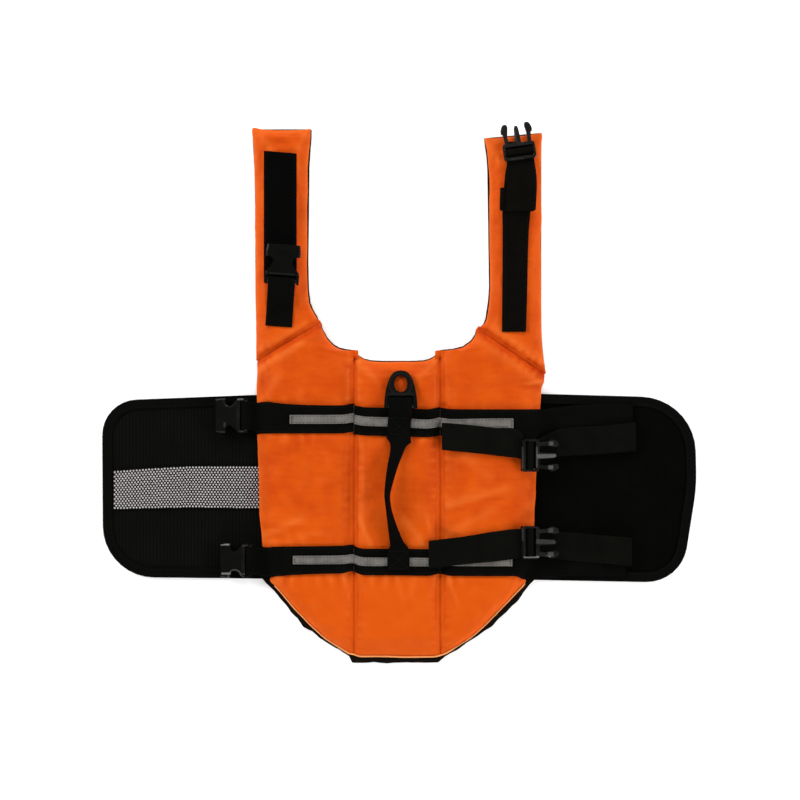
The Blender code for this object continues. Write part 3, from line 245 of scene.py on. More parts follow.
def plain_cloth(name, colour, grain=1.2 * MM, specular=0.02):
    """Plain woven cloth, as on linings, bindings, threads and the backing of the stripe."""
    cloth = Finish(name, colour, 0.85, specular)
    threads = cloth.weave(grain)
    pale = tuple(c * 2.2 + 0.0006 for c in colour)
    cloth.put("Base Color", cloth.blend(cloth.times(threads, cloth.cloud(10 * MM)), colour, pale))
    cloth.relief((cloth.cloud(8 * MM), 0.3 * MM), (threads, 0.08 * MM))
    return cloth.made


# Painted highlight colour for the plastics' ridges and edges.
PAINTED_HIGHLIGHT_COLOUR = (0.20, 0.196, 0.185)
SMOOTH, DULL = 0.16, 0.26  # roughness of the plastic, in patches
FADE_ALONG, FADE_ACROSS = 0.6, 0.4  # half the distances over which a painted highlight fades out, in mm


def moulded_plastic(name, specular, seat, highlights):
    """Black acetal with a fine moulded grain, with painted highlights on some of its ridges and edges.

    The seat is the part's place in plan and its heading, in mm and degrees. Each painted highlight lies in
    the part's
    own plan, and has a paleness: a bar of some half length and half width, or an arc of some radius and half
    width."""
    plastic = Finish(name, (0.003, 0.003, 0.0025), SMOOTH, specular)
    plastic.put("Roughness", plastic.span(plastic.cloud(11 * MM, 3.0), 0.3, 0.7, SMOOTH, DULL))
    tone = plastic.blend(plastic.cloud(18 * MM), (0.0022, 0.0022, 0.0018), (0.006, 0.006, 0.005))
    x, y, heading = seat
    own = Matrix.Rotation(math.radians(-heading), 2) @ Vector((x, y))
    along, across = (plastic.axis(axis, -heading) for axis in "XY")
    pale = None
    for kind, u, v, reach, half, strength in highlights:
        off_u = plastic.calc("ABSOLUTE", plastic.calc("SUBTRACT", along, (own.x + u) * MM))
        off_v = plastic.calc("ABSOLUTE", plastic.calc("SUBTRACT", across, (own.y + v) * MM))
        if kind == "arc":
            squares = [plastic.times(off, off) for off in (off_u, off_v)]
            radius = plastic.calc("SQRT", plastic.calc("ADD", *squares))
            off_v = plastic.calc("ABSOLUTE", plastic.calc("SUBTRACT", radius, reach * MM))
            reach = 1.5 * reach
        ends = plastic.span(off_u, (reach - FADE_ALONG) * MM, (reach + FADE_ALONG) * MM, strength, 0.0)
        sides = plastic.span(off_v, (half - FADE_ACROSS) * MM, (half + FADE_ACROSS) * MM, 1.0, 0.0)
        share = plastic.times(ends, sides)
        pale = plastic.calc("MAXIMUM", pale, share) if pale else share
    # painted highlight: pale patches where edges would catch the light
    if pale:
        patchy = plastic.span(plastic.cloud(2.5 * MM), 0.3, 0.6, 0.7, 1.0)
        tone = plastic.blend(plastic.times(pale, patchy), tone, PAINTED_HIGHLIGHT_COLOUR)
    plastic.put("Base Color", tone)
    plastic.relief((plastic.cloud(0.7 * MM, 2.0), 0.02 * MM))
    return plastic.made


PAINTED_HIGHLIGHTS = {  # painted highlights: kind, u and v of its middle, reach, half width, how pale, in a buckle's own plan in mm
    "plug_upper": (
        ("bar", 23.0, -0.8, 9.2, 2.0, 0.50),
        ("bar", 27.6, 11.0, 2.0, 1.8, 0.36),
        ("bar", 27.2, -11.0, 2.2, 1.8, 0.42),
        ("bar", 14.2, -1.6, 0.5, 9.6, 0.40),
        ("bar", 0.9, -2.0, 0.6, 10.0, 0.20),
    ),
    "plug_lower": (
        ("bar", 22.6, 1.0, 8.8, 2.4, 0.16),
        ("bar", 27.4, 11.0, 2.2, 2.0, 0.22),
        ("bar", 27.2, -11.0, 2.6, 2.0, 0.26),
        ("bar", 14.5, -13.3, 12.5, 0.7, 0.90),
        ("bar", 0.9, 7.5, 0.6, 5.5, 0.20),
    ),
    "lead_ring": (
        ("bar", 1.2, 98.2, 12.0, 1.0, 0.035),
        ("arc", 1.6, 107.2, 10.2, 0.8, 0.03),
    ),
    "plug_neck": (
        ("bar", 25.0, 1.6, 7.0, 0.8, 0.14),
        ("bar", 1.3, 3.0, 0.7, 6.0, 0.07),
    ),
    "socket_upper": (
        ("bar", 4.2, -15.3, 3.2, 0.9, 0.60),
        ("bar", 15.8, -9.4, 1.5, 0.9, 0.20),
        ("bar", 18.3, 8.4, 0.9, 2.2, 0.14),
        ("bar", 2.5, 14.6, 2.2, 0.7, 0.16),
        ("arc", 13.5, -14.0, 5.9, 0.35, 0.06),
    ),
    "socket_lower": (
        ("bar", 22.7, -15.3, 4.2, 0.8, 0.95),
        ("bar", 21.3, 11.6, 4.4, 0.9, 0.90),
        ("arc", 13.5, 14.0, 5.9, 0.45, 0.40),
        ("bar", 6.5, 12.2, 2.6, 0.7, 0.20),
        ("bar", 4.0, -14.0, 2.8, 1.0, 0.12),
    ),
    "socket_neck": (
        ("bar", 6.4, 0.0, 0.5, 12.0, 0.07),
        ("bar", 30.0, 15.0, 3.0, 0.6, 0.12),
    ),
}


FINISHES = {
    "shell": shell_cloth("orange_nylon", (0.550, 0.056, 0.0018), (0.690, 0.090, 0.0030)),
    # painted highlight: a lighter copy of the orange cloth, for the tail's piped hem
    "painted_lit_hem": shell_cloth("orange_hem_painted_highlight", (0.76, 0.17, 0.028), (0.92, 0.36, 0.12)),
    "web_x": webbing_cloth("webbing_along_x", "X"),
    "web_y": webbing_cloth("webbing_along_y", "Y"),
    "strap": webbing_cloth("webbing_strap", "X", 3.0, (0.0024, 0.0026, 0.0018)),
    "strap_neck": webbing_cloth("webbing_neck_strap", "Y", 0.0, (0.0022, 0.0019, 0.0013)),
    "hook_tape": plain_cloth("hook_tape", (0.0010, 0.0010, 0.0009), 0.9 * MM),
    "tape": tape_cloth(),
    "wing_left": wing_cloth("ribbed_mesh", True),
    "wing_right": wing_cloth("dotted_mesh", False),
    "binding": plain_cloth("binding_tape", (0.0022, 0.0022, 0.0019)),
    "lining": plain_cloth("lining_cloth", (0.0085, 0.0060, 0.0042)),
    "stripe": plain_cloth("stripe_backing", (0.012, 0.0115, 0.0115)),
    "stripe_knot": plain_cloth("stripe_knots", (0.47, 0.44, 0.44), 0.5 * MM, 0.1),
    "thread_black": plain_cloth("thread_black", (0.0032, 0.0032, 0.0028), 0.4 * MM, 0.1),
    "thread_orange": plain_cloth("thread_orange", (0.50, 0.040, 0.0025), 0.4 * MM, 0.05),
    "thread_grey": plain_cloth("thread_grey", (0.055, 0.045, 0.038), 0.4 * MM, 0.1),
}

HARD = {  # specular, place in plan and heading, in mm and degrees, and edge rounding in mm
    "lead_ring": (0.3, (0.0, 0.0, 0.0), 0.9),
    "plug_upper": (0.2, (113.0, 41.4, 0.0), 0.5),
    "plug_lower": (0.2, (113.0, -38.9, 0.0), 0.5),
    "plug_neck": (0.3, (112.2, 313.8, 98.0), 0.5),
    "socket_upper": (0.2, (-143.0, 78.2, 180.0), 0.8),
    "socket_lower": (0.2, (-138.4, -56.3, 180.0), 0.8),
    "socket_neck": (0.1, (-108.3, 202.5, 86.0), 0.8),
}
for name, (specular, seat, _) in HARD.items():
    FINISHES[name] = moulded_plastic("acetal_" + name, specular, seat, PAINTED_HIGHLIGHTS[name])


# ---------------------------------------------------------------- mesh helpers


def merged(*nodes):
    """One bmesh of some frame solids, with their loose triangles welded and joined back into quads."""
    bm = bmesh.new()
    for node in nodes:
        bm.from_mesh(NODES[node].data)
    bmesh.ops.remove_doubles(bm, verts=bm.verts[:], dist=0.01 * MM)
    bmesh.ops.join_triangles(
        bm,
        faces=bm.faces[:],
        angle_face_threshold=math.radians(40),
        angle_shape_threshold=math.radians(70),
    )
    return bm


def halved(bm, times=1):
    """Splits every edge in two, with a grid of faces between."""
    for _ in range(times):
        bmesh.ops.subdivide_edges(bm, edges=bm.edges[:], cuts=1, use_grid_fill=True)
    return bm


def gridded(bm, step, flat=True):
    """Cuts faces into a grid, first melting flat neighbours together, and keeps their outline."""
    if flat:
        bmesh.ops.dissolve_limit(bm, angle_limit=math.radians(1.0), verts=bm.verts[:], edges=bm.edges[:])
    for normal in (Vector((1.0, 0.0, 0.0)), Vector((0.0, 1.0, 0.0))):
        low = min(vert.co.dot(normal) for vert in bm.verts)
        high = max(vert.co.dot(normal) for vert in bm.verts)
        for k in range(1, int((high - low) / step)):
            bmesh.ops.bisect_plane(
                bm,
                geom=bm.verts[:] + bm.edges[:] + bm.faces[:],
                plane_co=normal * (low + k * step),
                plane_no=normal,
                dist=0.05 * MM if flat else 0.22 * step,
            )
    return bm


def placed(name, data):
    """A new object in the scene."""
    made = bpy.data.objects.new(name, data)
    bpy.context.scene.collection.objects.link(made)
    return made


def piece(name, bm, finish, stands_for=(), sharp=38.0):
    """Closes a bmesh into a piece of the jacket."""
    mesh = bpy.data.meshes.new(name)
    bm.to_mesh(mesh)
    bm.free()
    mesh.shade_smooth()
    mesh.set_sharp_from_angle(angle=math.radians(sharp))
    mesh.materials.append(FINISHES[finish])
    made = placed(name, mesh)
    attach(made, "jacket")
    if stands_for:
        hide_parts(*stands_for)
    return made


def rounded_edges(thing, width, segments=2, angle=50.0):
    made = thing.modifiers.new("edges", "BEVEL")
    made.width = width
    made.segments = segments
    made.limit_method = "ANGLE"
    made.angle_limit = math.radians(angle)
    return thing


def smoothed(thing, levels=1):
    made = thing.modifiers.new("smooth", "SUBSURF")
    made.levels = levels
    made.render_levels = levels
    return thing


def walled(thing, thickness, offset):
    made = thing.modifiers.new("wall", "SOLIDIFY")
    made.thickness = thickness
    made.offset = offset


def tree_from(meshes):
    bm = bmesh.new()
    for mesh in meshes:
        bm.from_mesh(mesh)
    made = BVHTree.FromBMesh(bm)
    bm.free()
    return made


def tree_of(nodes):
    """A tree for probing some of the frame's solids."""
    return tree_from(NODES[node].data for node in nodes)


def surface_of(*things):
    """A tree for probing finished pieces, with their modifiers."""
    graph = bpy.context.evaluated_depsgraph_get()
    return tree_from(thing.evaluated_get(graph).data for thing in things)


def top_of(tree, x, y):
    """The highest point of a surface at a place in plan, or None beside it."""
    return tree.ray_cast(Vector((x, y, HIGH)), -UP)[0]


def stir(place, size, seed=0.0):
    """Smooth noise from about -1 to 1."""
    return noise.noise(Vector((place.x / size + seed, place.y / size - seed, place.z / size)))


def eased(value, low, high):
    """0 below low, 1 above high, smooth between."""
    share = max(0.0, min(1.0, (value - low) / (high - low)))
    return share * share * (3 - 2 * share)


def resampled(points, pitch):
    """Points at an even pitch along a path."""
    made, left = [Vector(points[0])], pitch
    for start, end in zip(points, points[1:]):
        start, end = Vector(start), Vector(end)
        length = (end - start).length
        while length >= left > 0:
            start = start.lerp(end, left / length)
            made.append(start.copy())
            length -= left
            left = pitch
        left -= length
    return made


def tube(bm, points, radius, sides=8):
    """Adds a closed round cord along some points."""
    face = bmesh.ops.create_circle(bm, cap_ends=True, segments=sides, radius=radius)["verts"][0].link_faces[0]
    circle = [vert.co.copy() for vert in face.verts]
    for k, point in enumerate(points):
        ahead = (points[min(k + 1, len(points) - 1)] - points[max(k - 1, 0)]).normalized()
        side = ahead.cross(UP).normalized()
        turn = Matrix((side, side.cross(ahead), ahead)).transposed()
        if k:
            grown = bmesh.ops.extrude_face_region(bm, geom=[face])["geom"]
            front = next(item for item in grown if isinstance(item, bmesh.types.BMFace))
            if k > 1:
                bm.faces.remove(face)
            face = front
        for vert, spot in zip(face.verts, circle):
            vert.co = point + turn @ spot
    bmesh.ops.recalc_face_normals(bm, faces=bm.faces[:])


def sewn(name, lines, ground, finish, slot, pitch=3.2 * MM, length=2.3 * MM, thick=0.32 * MM):
    """Rows of stitches lying on a surface: each is a small round bead drawn out along its row."""
    bm = bmesh.new()
    for line in lines:
        places = [top_of(ground, x, y) for x, y in line]
        places = [place for place in places if place]
        if len(places) < 2:
            continue
        spots = resampled(places, pitch)
        for spot, after in zip(spots, spots[1:]):
            ahead = (after - spot).normalized()
            side = ahead.cross(UP).normalized()
            turn = Matrix((ahead, side, ahead.cross(side))).transposed().to_4x4()
            size = Matrix.Diagonal((length / 2, thick, thick, 1.0))
            place = Matrix.Translation(spot.lerp(after, 0.5) + UP * thick * 0.35) @ turn @ size
            bmesh.ops.create_icosphere(bm, subdivisions=1, radius=1.0, matrix=place)
    if not bm.verts:
        bm.free()
        return None
    bmesh.ops.recalc_face_normals(bm, faces=bm.faces[:])
    return piece(name, bm, finish, sharp=80.0)


PROBE_STEP = 0.5 * MM


def width_at(tree, run, along, low, high):
    """Where a strip begins and ends across its length, at some place along it, or None."""
    across = 1 - along
    found = []
    for n in range(int((high[across] - low[across]) / PROBE_STEP) + 12):
        off = low[across] + (n - 5) * PROBE_STEP
        if top_of(tree, *((run, off) if along == 0 else (off, run))):
            found.append(off)
    return (found[0], found[-1]) if len(found) > 8 else None


def long_edges(tree, low, high, along, inset, ends=1.5 * MM, step=4 * MM):
    """Two paths in plan that follow the long edges of a strip, inset from them."""
    sides = ([], [])
    count = max(2, int((high[along] - low[along] - 2 * ends) / step))
    for k in range(count + 1):
        run = low[along] + ends + (high[along] - low[along] - 2 * ends) * k / count
        span = width_at(tree, run, along, low, high)
        if span:
            for side, off in zip(sides, (span[0] + inset, span[1] - inset)):
                side.append((run, off) if along == 0 else (off, run))
    return sides


# ---------------------------------------------------------------- padded pockets

LOAD = tree_of([name for name in NODES if name not in PADS and not name.startswith("lining")])
PAD_PRESSURE = 4.0
PAD_STEPS = 20
PAD_HELD = 5.5 * MM  # height below which a pad's cloth is held
PAD_SHARE = 0.55  # of the swelling that is kept
PAD_CAP = 1.7 * MM  # and the most that it may be

SEAM_LINES = (  # ends in plan, pitch and height of the puckers beside them, in millimetres
    (-41.7, -143.0, -41.7, 139.0, 9.0, 0.30),
    (38.0, -143.0, 38.0, 139.0, 9.0, 0.30),
    (-131.5, 128.7, -73.5, 163.3, 8.0, 0.40),
    (135.2, 116.2, 73.0, 158.4, 8.0, 0.40),
    (-134.0, 60.6, 134.0, 57.8, 13.0, 0.30),
    (-134.0, 90.0, 134.0, 88.0, 14.0, 0.22),
    (-128.0, -40.6, 125.0, -42.5, 12.0, 0.35),
    (-126.0, -71.5, 122.0, -71.5, 12.0, 0.32),
)
FOLDS = (  # ends in plan, width and height of single folds, in millimetres
    (-128.0, 121.8, -90.0, 144.5, 3.4, 1.0),
    (-127.0, 139.5, -90.0, 161.5, 3.6, 0.6),
    (76.0, 145.5, 127.0, 111.0, 3.6, 0.6),
    (88.0, 158.5, 133.0, 128.5, 3.8, 0.7),
    (-127.0, -32.5, -92.0, -18.5, 3.2, 0.8),
    (-120.0, -39.5, -74.0, -31.0, 2.6, 0.6),
    (-37.5, -17.0, -25.0, -41.5, 3.2, 0.8),
    (5.0, -18.0, 23.5, -41.5, 3.4, 0.7),
    (26.0, -16.0, 35.0, -42.0, 2.6, 0.5),
    (46.0, -4.0, 95.0, 10.0, 4.2, 0.7),
    (48.0, -30.0, 88.0, -8.0, 4.0, 0.5),
    (122.0, 107.6, 134.5, 109.6, 1.8, 0.7),
    (120.0, 99.6, 133.5, 98.8, 1.8, 0.6),
    (-50.0, -72.0, -45.0, -90.0, 2.4, 0.5),
    (-2.0, -72.0, 3.0, -88.0, 2.6, 0.5),
    (14.0, -72.0, 11.0, -86.0, 2.2, 0.4),
    (46.0, -72.0, 52.0, -92.0, 2.4, 0.5),
    (-38.0, 128.0, -22.0, 112.0, 3.2, 0.6),
    (20.0, 116.0, 36.0, 132.0, 3.2, 0.6),
    (-126.0, 92.0, -112.0, 112.0, 3.6, 0.5),
    (-128.0, 338.0, -118.0, 322.0, 3.2, 0.6),
    (-88.0, 336.0, -95.0, 322.0, 3.0, 0.5),
    (82.0, 330.0, 92.0, 314.0, 3.0, 0.6),
    (43.0, 55.0, 43.0, -38.0, 2.6, 0.3),
    (-36.0, 56.0, -36.0, -38.0, 3.4, 0.5),
    (-45.5, 92.0, -45.5, 134.0, 2.6, 0.5),
    (-37.5, 92.0, -37.5, 130.0, 2.6, 0.5),
    (34.0, 92.0, 34.0, 130.0, 2.6, 0.4),
    (42.0, 92.0, 42.0, 136.0, 2.6, 0.4),
    (60.0, 40.0, 84.0, 20.0, 5.0, 0.4),
    (-124.0, -24.0, -88.0, -26.0, 2.2, -0.5),
    (-112.0, -34.5, -78.0, -36.0, 1.8, -0.4),
    (44.0, -12.0, 90.0, 2.0, 2.4, -0.4),
    (118.0, 103.6, 133.0, 104.2, 1.4, -0.8),
    (-31.0, -22.0, -22.0, -41.0, 2.0, -0.4),
    (-70.0, 332.0, -110.0, 330.0, 3.0, -0.3),
)
SEAM_DIPS = (  # width, depth and painted shade of the first four seams' creases
    (1.4, 0.3, 0.12),
    (2.4, 0.4, 0.16),
    (2.9, 2.2, 0.79),
    (2.9, 2.4, 0.95),
)
CORNERS = (  # place in plan, pull in plan and reach of the pulled-out corners of straps and tail, in mm
    (-134.0, 342.0, -1.4, 2.8, 5.0),
    (-81.0, 341.5, 0.6, 1.6, 5.0),
    (80.0, 333.0, -1.6, 1.8, 5.0),
    (132.0, 337.0, 1.0, 1.0, 5.0),
    (-117.0, -77.0, -5.5, 0.5, 4.5),
    (114.5, -78.0, 4.4, 0.5, 4.5),
)


def off_line(place, x1, y1, x2, y2):
    """Distance in millimetres from a line in plan, how far along it, and how far past its ends."""
    start, end = Vector((x1, y1)) * MM, Vector((x2, y2)) * MM
    along = (end - start).normalized()
    reach = place.xy - start
    run = reach.dot(along)
    length = (end - start).length
    past = max(0.0, -run, run - length)
    return abs(reach.cross(along)) / MM, run / MM, past / MM


def puckers(place):
    """Height in metres of the puckers along seams and of the folds, and the painted light that goes with
    them:
    painted shade in creases is below 0 and painted highlight on ridges above."""
    rise = painted_shading = 0.0
    for *ends, pitch, height in SEAM_LINES:
        off, run, past = off_line(place, *ends)
        if off < 16 and past < 4:
            wave = math.sin(2 * math.pi * run / pitch + 3.0 * stir(place, 22 * MM, pitch + ends[0]))
            strength = max(0.0, 0.35 + stir(place, 30 * MM, ends[1]))
            pucker = height * math.exp(-((off / 7.5) ** 2)) * wave * strength
            rise += pucker
            painted_shading += 1.1 * pucker
    for *ends, width, height in FOLDS:
        off, run, past = off_line(place, *ends)
        fold = height * math.exp(-((off / width) ** 2) - (past / 5.0) ** 2)
        rise += fold
        painted_shading += 0.42 * fold
    # painted shade along each seam's crease
    for line, (width, depth, crease_shade) in zip(SEAM_LINES, SEAM_DIPS):
        off, run, past = off_line(place, *line[:4])
        dip = math.exp(-((off / width) ** 2) - (past / 3.0) ** 2)
        rise -= depth * dip
        painted_shading -= crease_shade * dip
    return rise * MM, painted_shading


def seam_distance(place):
    return min(off_line(place, *line[:4])[0] + off_line(place, *line[:4])[2] for line in SEAM_LINES[:4])


def worn_and_painted_shading(thing, values):
    """Keeps a piece's painted light and shade, one value for each vertex, for its finish to read."""
    thing.data.attributes.new("painted_shading", "FLOAT", "POINT").data.foreach_set("value", values)


def inflated(thing, fixed):
    """Swells a pad's cloth by pressure, with its seams and underside held, and gives the swollen places."""
    group = thing.vertex_groups.new(name="held")
    group.add(fixed, 1.0, "REPLACE")
    cloth = thing.modifiers.new("cloth", "CLOTH")
    settings = cloth.settings
    settings.quality = 6
    settings.mass = 0.2
    settings.tension_stiffness = 12
    settings.compression_stiffness = 12
    settings.bending_stiffness = 0.08
    settings.use_pressure = True
    settings.uniform_pressure_force = PAD_PRESSURE
    settings.shrink_min = -0.035
    settings.vertex_group_mass = "held"
    settings.effector_weights.gravity = 0.0
    cloth.collision_settings.use_collision = False
    cloth.collision_settings.use_self_collision = False
    cloth.point_cache.frame_start = 1
    cloth.point_cache.frame_end = PAD_STEPS
    scene = bpy.context.scene
    for step in range(1, PAD_STEPS + 1):
        scene.frame_set(step)
    shown = thing.evaluated_get(bpy.context.evaluated_depsgraph_get())
    places = [vert.co.copy() for vert in shown.data.vertices]
    thing.modifiers.remove(cloth)
    scene.frame_set(1)
    return places


def pad(node):
    """One foam pocket in its cloth: swollen, puckered along its seams and held down by what lies on it."""
    bm = gridded(merged(node), 3.3 * MM, flat=False)
    bmesh.ops.recalc_face_normals(bm, faces=bm.faces[:])
    thing = piece("pad_" + node, bm, "shell", stands_for=(node,), sharp=70.0)
    verts = thing.data.vertices
    low = min(vert.co.z for vert in verts)
    top = max(vert.co.z for vert in verts)
    rest = [vert.co.copy() for vert in verts]
    normals = [vert.normal.copy() for vert in verts]
    fixed = [k for k, place in enumerate(rest) if place.z < low + PAD_HELD]
    painted_shading = []
    swollen = inflated(thing, fixed)
    for vert, start, normal, end in zip(verts, rest, normals, swollen):
        rise = eased(start.z, low + 2 * MM, top - 2 * MM)
        wrinkle = 0.30 * MM * stir(start, 19 * MM, 3.1) + 0.16 * MM * stir(start, 8 * MM, 7.7)
        pucker, fold_shading = puckers(start)
        move = (end - start) * PAD_SHARE + UP * (wrinkle + pucker) * rise
        free = eased(seam_distance(start), 3.0, 9.0)
        side = Vector((normal.x, normal.y, 0.0))
        move += side * (0.7 * MM * free * (0.4 * stir(start, 9 * MM, 4.4) + stir(start, 21 * MM, 8.8)))
        room = 0.55 * max(0.0, LOAD.find_nearest(start)[3] - 0.25 * MM)
        if move.z > 0.0:
            move *= min(1.0, min(PAD_CAP, room) / max(move.length, 1e-9))
        # painted highlight along the pad's lower rim, where light glances off it, added to the painted shade
        # and highlight of folds and a little random tone
        rim_highlight = math.exp(-(((start.z - low) / (5.0 * MM)) ** 2)) * free
        painted_shading.append(fold_shading + 0.55 * rim_highlight + 0.10 * stir(start, 12 * MM, 6.0))
        for x, y, pull_x, pull_y, reach in CORNERS:
            off = (start.xy - Vector((x, y)) * MM).length / MM
            move += Vector((pull_x, pull_y, 0.0)) * (MM * math.exp(-((off / reach) ** 2)))
        vert.co = start + move
    worn_and_painted_shading(thing, painted_shading)
    smoothed(thing)
    return thing


SWOLLEN = surface_of(*[pad(name) for name in PADS])


# ---------------------------------------------------------------- seams and hems of the pads

VALLEYS = (  # name, ends in plan, half width and depth in mm, power of the profile, painted shade of the floor
    ("seam_channel_left", (-41.72, -143.6), (-41.72, 138.9), 4.2, 0.9, 0.9, -0.34),
    ("seam_channel_right", (38.0, -143.6), (38.0, 138.6), 4.6, 1.1, 0.9, -0.38),
    ("seam_yoke_left", (-131.4, 128.8), (-72.6, 164.8), 3.0, 1.1, 1.6, -0.45),
    ("seam_yoke_right", (135.0, 116.3), (72.2, 159.0), 3.0, 1.2, 1.6, -0.62),
)
ACROSS_VALLEY = (-1.0, -0.66, -0.34, -0.12, 0.0, 0.12, 0.34, 0.66, 1.0)


def valley(name, start, end, half, depth, power, floor_shade):
    """The cloth that runs down into a sewn seam between two pads, with the seam's thread in it."""
    start, end = Vector(start) * MM, Vector(end) * MM
    ahead = (end - start).normalized()
    side = Vector((ahead.y, -ahead.x))
    rows, bottom = [], []
    banks = [12 * MM]
    count = int((end - start).length / (2.5 * MM))
    for k in range(count + 1):
        centre = start.lerp(end, k / count)
        sway = 0.25 * MM * stir(centre.to_3d(), 9 * MM, half)
        probes = [top_of(SWOLLEN, *(centre + side * (s * half * MM))) for s in ACROSS_VALLEY]
        banks = [p.z for p in (probes[0], probes[-1]) if p] or banks
        floor = min(banks) - depth * MM * (0.8 + 0.5 * abs(stir(centre.to_3d(), 7 * MM, depth)))
        row = []
        for s, probe in zip(ACROSS_VALLEY, probes):
            z = floor + (banks[0 if s < 0 else -1] - floor) * abs(s) ** power
            if probe:
                z = max(z, probe.z + 0.06 * MM)
            if abs(s) == 1:
                z -= 0.3 * MM
            spot = centre + side * (s * half * MM + sway)
            lid = LOAD.ray_cast(Vector((spot.x, spot.y, 9 * MM)), UP)[0]
            row.append(Vector((spot.x, spot.y, min(z, lid.z - 0.3 * MM) if lid else z)))
        rows.append(row)
        bottom.append((centre.x + side.x * sway, centre.y + side.y * sway))
    bm = bmesh.new()
    last = len(ACROSS_VALLEY) - 1
    bmesh.ops.create_grid(bm, x_segments=last, y_segments=count, size=0.5)
    painted_shading = []
    for vert in bm.verts:
        k, n = round((vert.co.y + 0.5) * count), round((vert.co.x + 0.5) * last)
        vert.co = rows[k][n]
        # painted shade along the floor of the seam
        painted_shading.append(floor_shade * math.exp(-((ACROSS_VALLEY[n] * half / 1.1) ** 2)))
    made = piece(name, bm, "shell", sharp=80.0)
    worn_and_painted_shading(made, painted_shading)
    walled(made, 0.5 * MM, -1.0)
    smoothed(made)
    sewn(name + "_thread", [bottom], surface_of(made), "thread_orange", "shell_orange", 3.0 * MM, 2.2 * MM)


for entry in VALLEYS:
    valley(*entry)


SEAM_TAPE_HALF = 2.2
SEAM_TAPE_LEVELS = (0.15, 1.35)  # heights of its faces in millimetres, inside the lining's own


def seam_tape(side, start, end):
    """The lining's tape under a slanting seam, which joins the back's lining to a neck strap's."""
    start, end = Vector(start) * MM, Vector(end) * MM
    ahead = (end - start).normalized()
    across = Vector((ahead.y, -ahead.x)) * SEAM_TAPE_HALF * MM
    low, high = SEAM_TAPE_LEVELS
    bm = bmesh.new()
    corners = (start - across, start + across, end + across, end - across)
    face = bm.faces.new([bm.verts.new((corner.x, corner.y, low * MM)) for corner in corners])
    grown = bmesh.ops.extrude_face_region(bm, geom=[face])["geom"]
    top = [item for item in grown if isinstance(item, bmesh.types.BMVert)]
    bmesh.ops.translate(bm, vec=UP * (high - low) * MM, verts=top)
    bmesh.ops.recalc_face_normals(bm, faces=bm.faces[:])
    piece("seam_tape_" + side, bm, "lining", sharp=30.0)


seam_tape("left", *VALLEYS[2][1:3])
seam_tape("right", *VALLEYS[3][1:3])


def rim_of(start, direction, height=5.0 * MM):
    """Where a level ray meets the side of the swollen pads."""
    return SWOLLEN.ray_cast(Vector((*start, height)), Vector((*direction, 0.0)))[0]


def tail_rim():
    """The pads' lower edge in plan, from the left end of the lower band round to the right one."""
    left = [rim_of((-0.3, y * MM), (1.0, 0.0)) for y in range(-79, -136, -3)]
    under = [rim_of((x * MM, -0.3), (0.0, 1.0)) for x in range(-62, 63, 4)]
    right = [rim_of((0.3, y * MM), (-1.0, 0.0)) for y in range(-134, -76, 3)]
    points = [p for p in left + under + right if p]
    kept = [points[0]]
    for point in points[1:]:
        if 2 * MM < (point - kept[-1]).length:
            kept.append(point)
    return kept


def hems():
    """A piped hem round the tail, its lighter orange a painted highlight along the lit edge, and a thin dark
    one along the neckline.
    """
    bm = bmesh.new()
    middle = Vector((0.0, -60 * MM, 0.0))
    points = []
    for place in tail_rim():
        outward = ((place - middle) * Vector((1, 1, 0))).normalized()
        points.append(place + outward * 0.2 * MM + UP * 2.2 * MM)
    tube(bm, points, 0.8 * MM)
    smoothed(piece("hem_tail_painted_highlight", bm, "painted_lit_hem", sharp=80.0))
    bm = bmesh.new()
    neck = [rim_of((x * MM, 0.2), (0.0, -1.0), 3.5 * MM) for x in range(-12, 56, 4)]
    neck = [p + Vector((0.0, 0.35 * MM, 0.0)) for p in neck if p]
    tube(bm, neck, 0.55 * MM)
    piece("hem_neckline", bm, "lining", sharp=80.0)


hems()


# ---------------------------------------------------------------- lining and wings


def flat_area(node):
    """Area of a node seen from above."""
    bm = merged(node)
    area = sum(face.calc_area() * max(0.0, face.normal.z) for face in bm.faces)
    bm.free()
    return area


MARGIN_PULLS = (  # place in plan, pull in plan and reach where the lining's margin is wider, in mm
    (-124.0, -76.0, -3.0, 3.0, 7.0),
    (-97.0, -106.0, -0.9, -0.9, 8.0),
    (-86.0, -116.0, -1.9, -1.6, 8.0),
    (-73.0, -126.0, -1.3, -1.5, 8.0),
    (-58.0, -135.0, -0.6, -1.2, 8.0),
    (123.0, -76.0, 3.5, 2.0, 6.0),
    (108.0, -92.0, 1.6, -1.2, 8.0),
    (96.0, -104.0, 1.9, -1.6, 8.0),
    (84.0, -114.0, 1.5, -1.4, 8.0),
)


def lining(node):
    """Lining cloth, its free edge slightly wavy."""
    bm = gridded(merged(node), 6 * MM)
    for vert in bm.verts:
        if node == "lining_back":
            tail = eased(-vert.co.y, 70 * MM, 84 * MM)
            outward = Vector((vert.co.x, vert.co.y + 60 * MM, 0.0)).normalized()
            at_edge = eased(outward.dot(vert.co + Vector((0.0, 60 * MM, 0.0))), 66 * MM, 74 * MM)
            for x, y, pull_x, pull_y, reach in MARGIN_PULLS:
                off = (vert.co.xy - Vector((x, y)) * MM).length / MM
                vert.co += Vector((pull_x, pull_y, 0.0)) * (MM * at_edge * math.exp(-((off / reach) ** 2)))
            wave = 1.3 * stir(vert.co, 13 * MM, 5.0) + 0.5 * stir(vert.co, 5 * MM, 2.0)
            vert.co += outward * (MM * tail * wave)
            vert.co.z += 0.9 * MM * tail * (vert.co.z > 1 * MM) * abs(stir(vert.co, 9 * MM, 2.0))
    thing = rounded_edges(piece(node + "_cloth", bm, "lining", stands_for=(node,)), 0.4 * MM)
    flat_area(node)


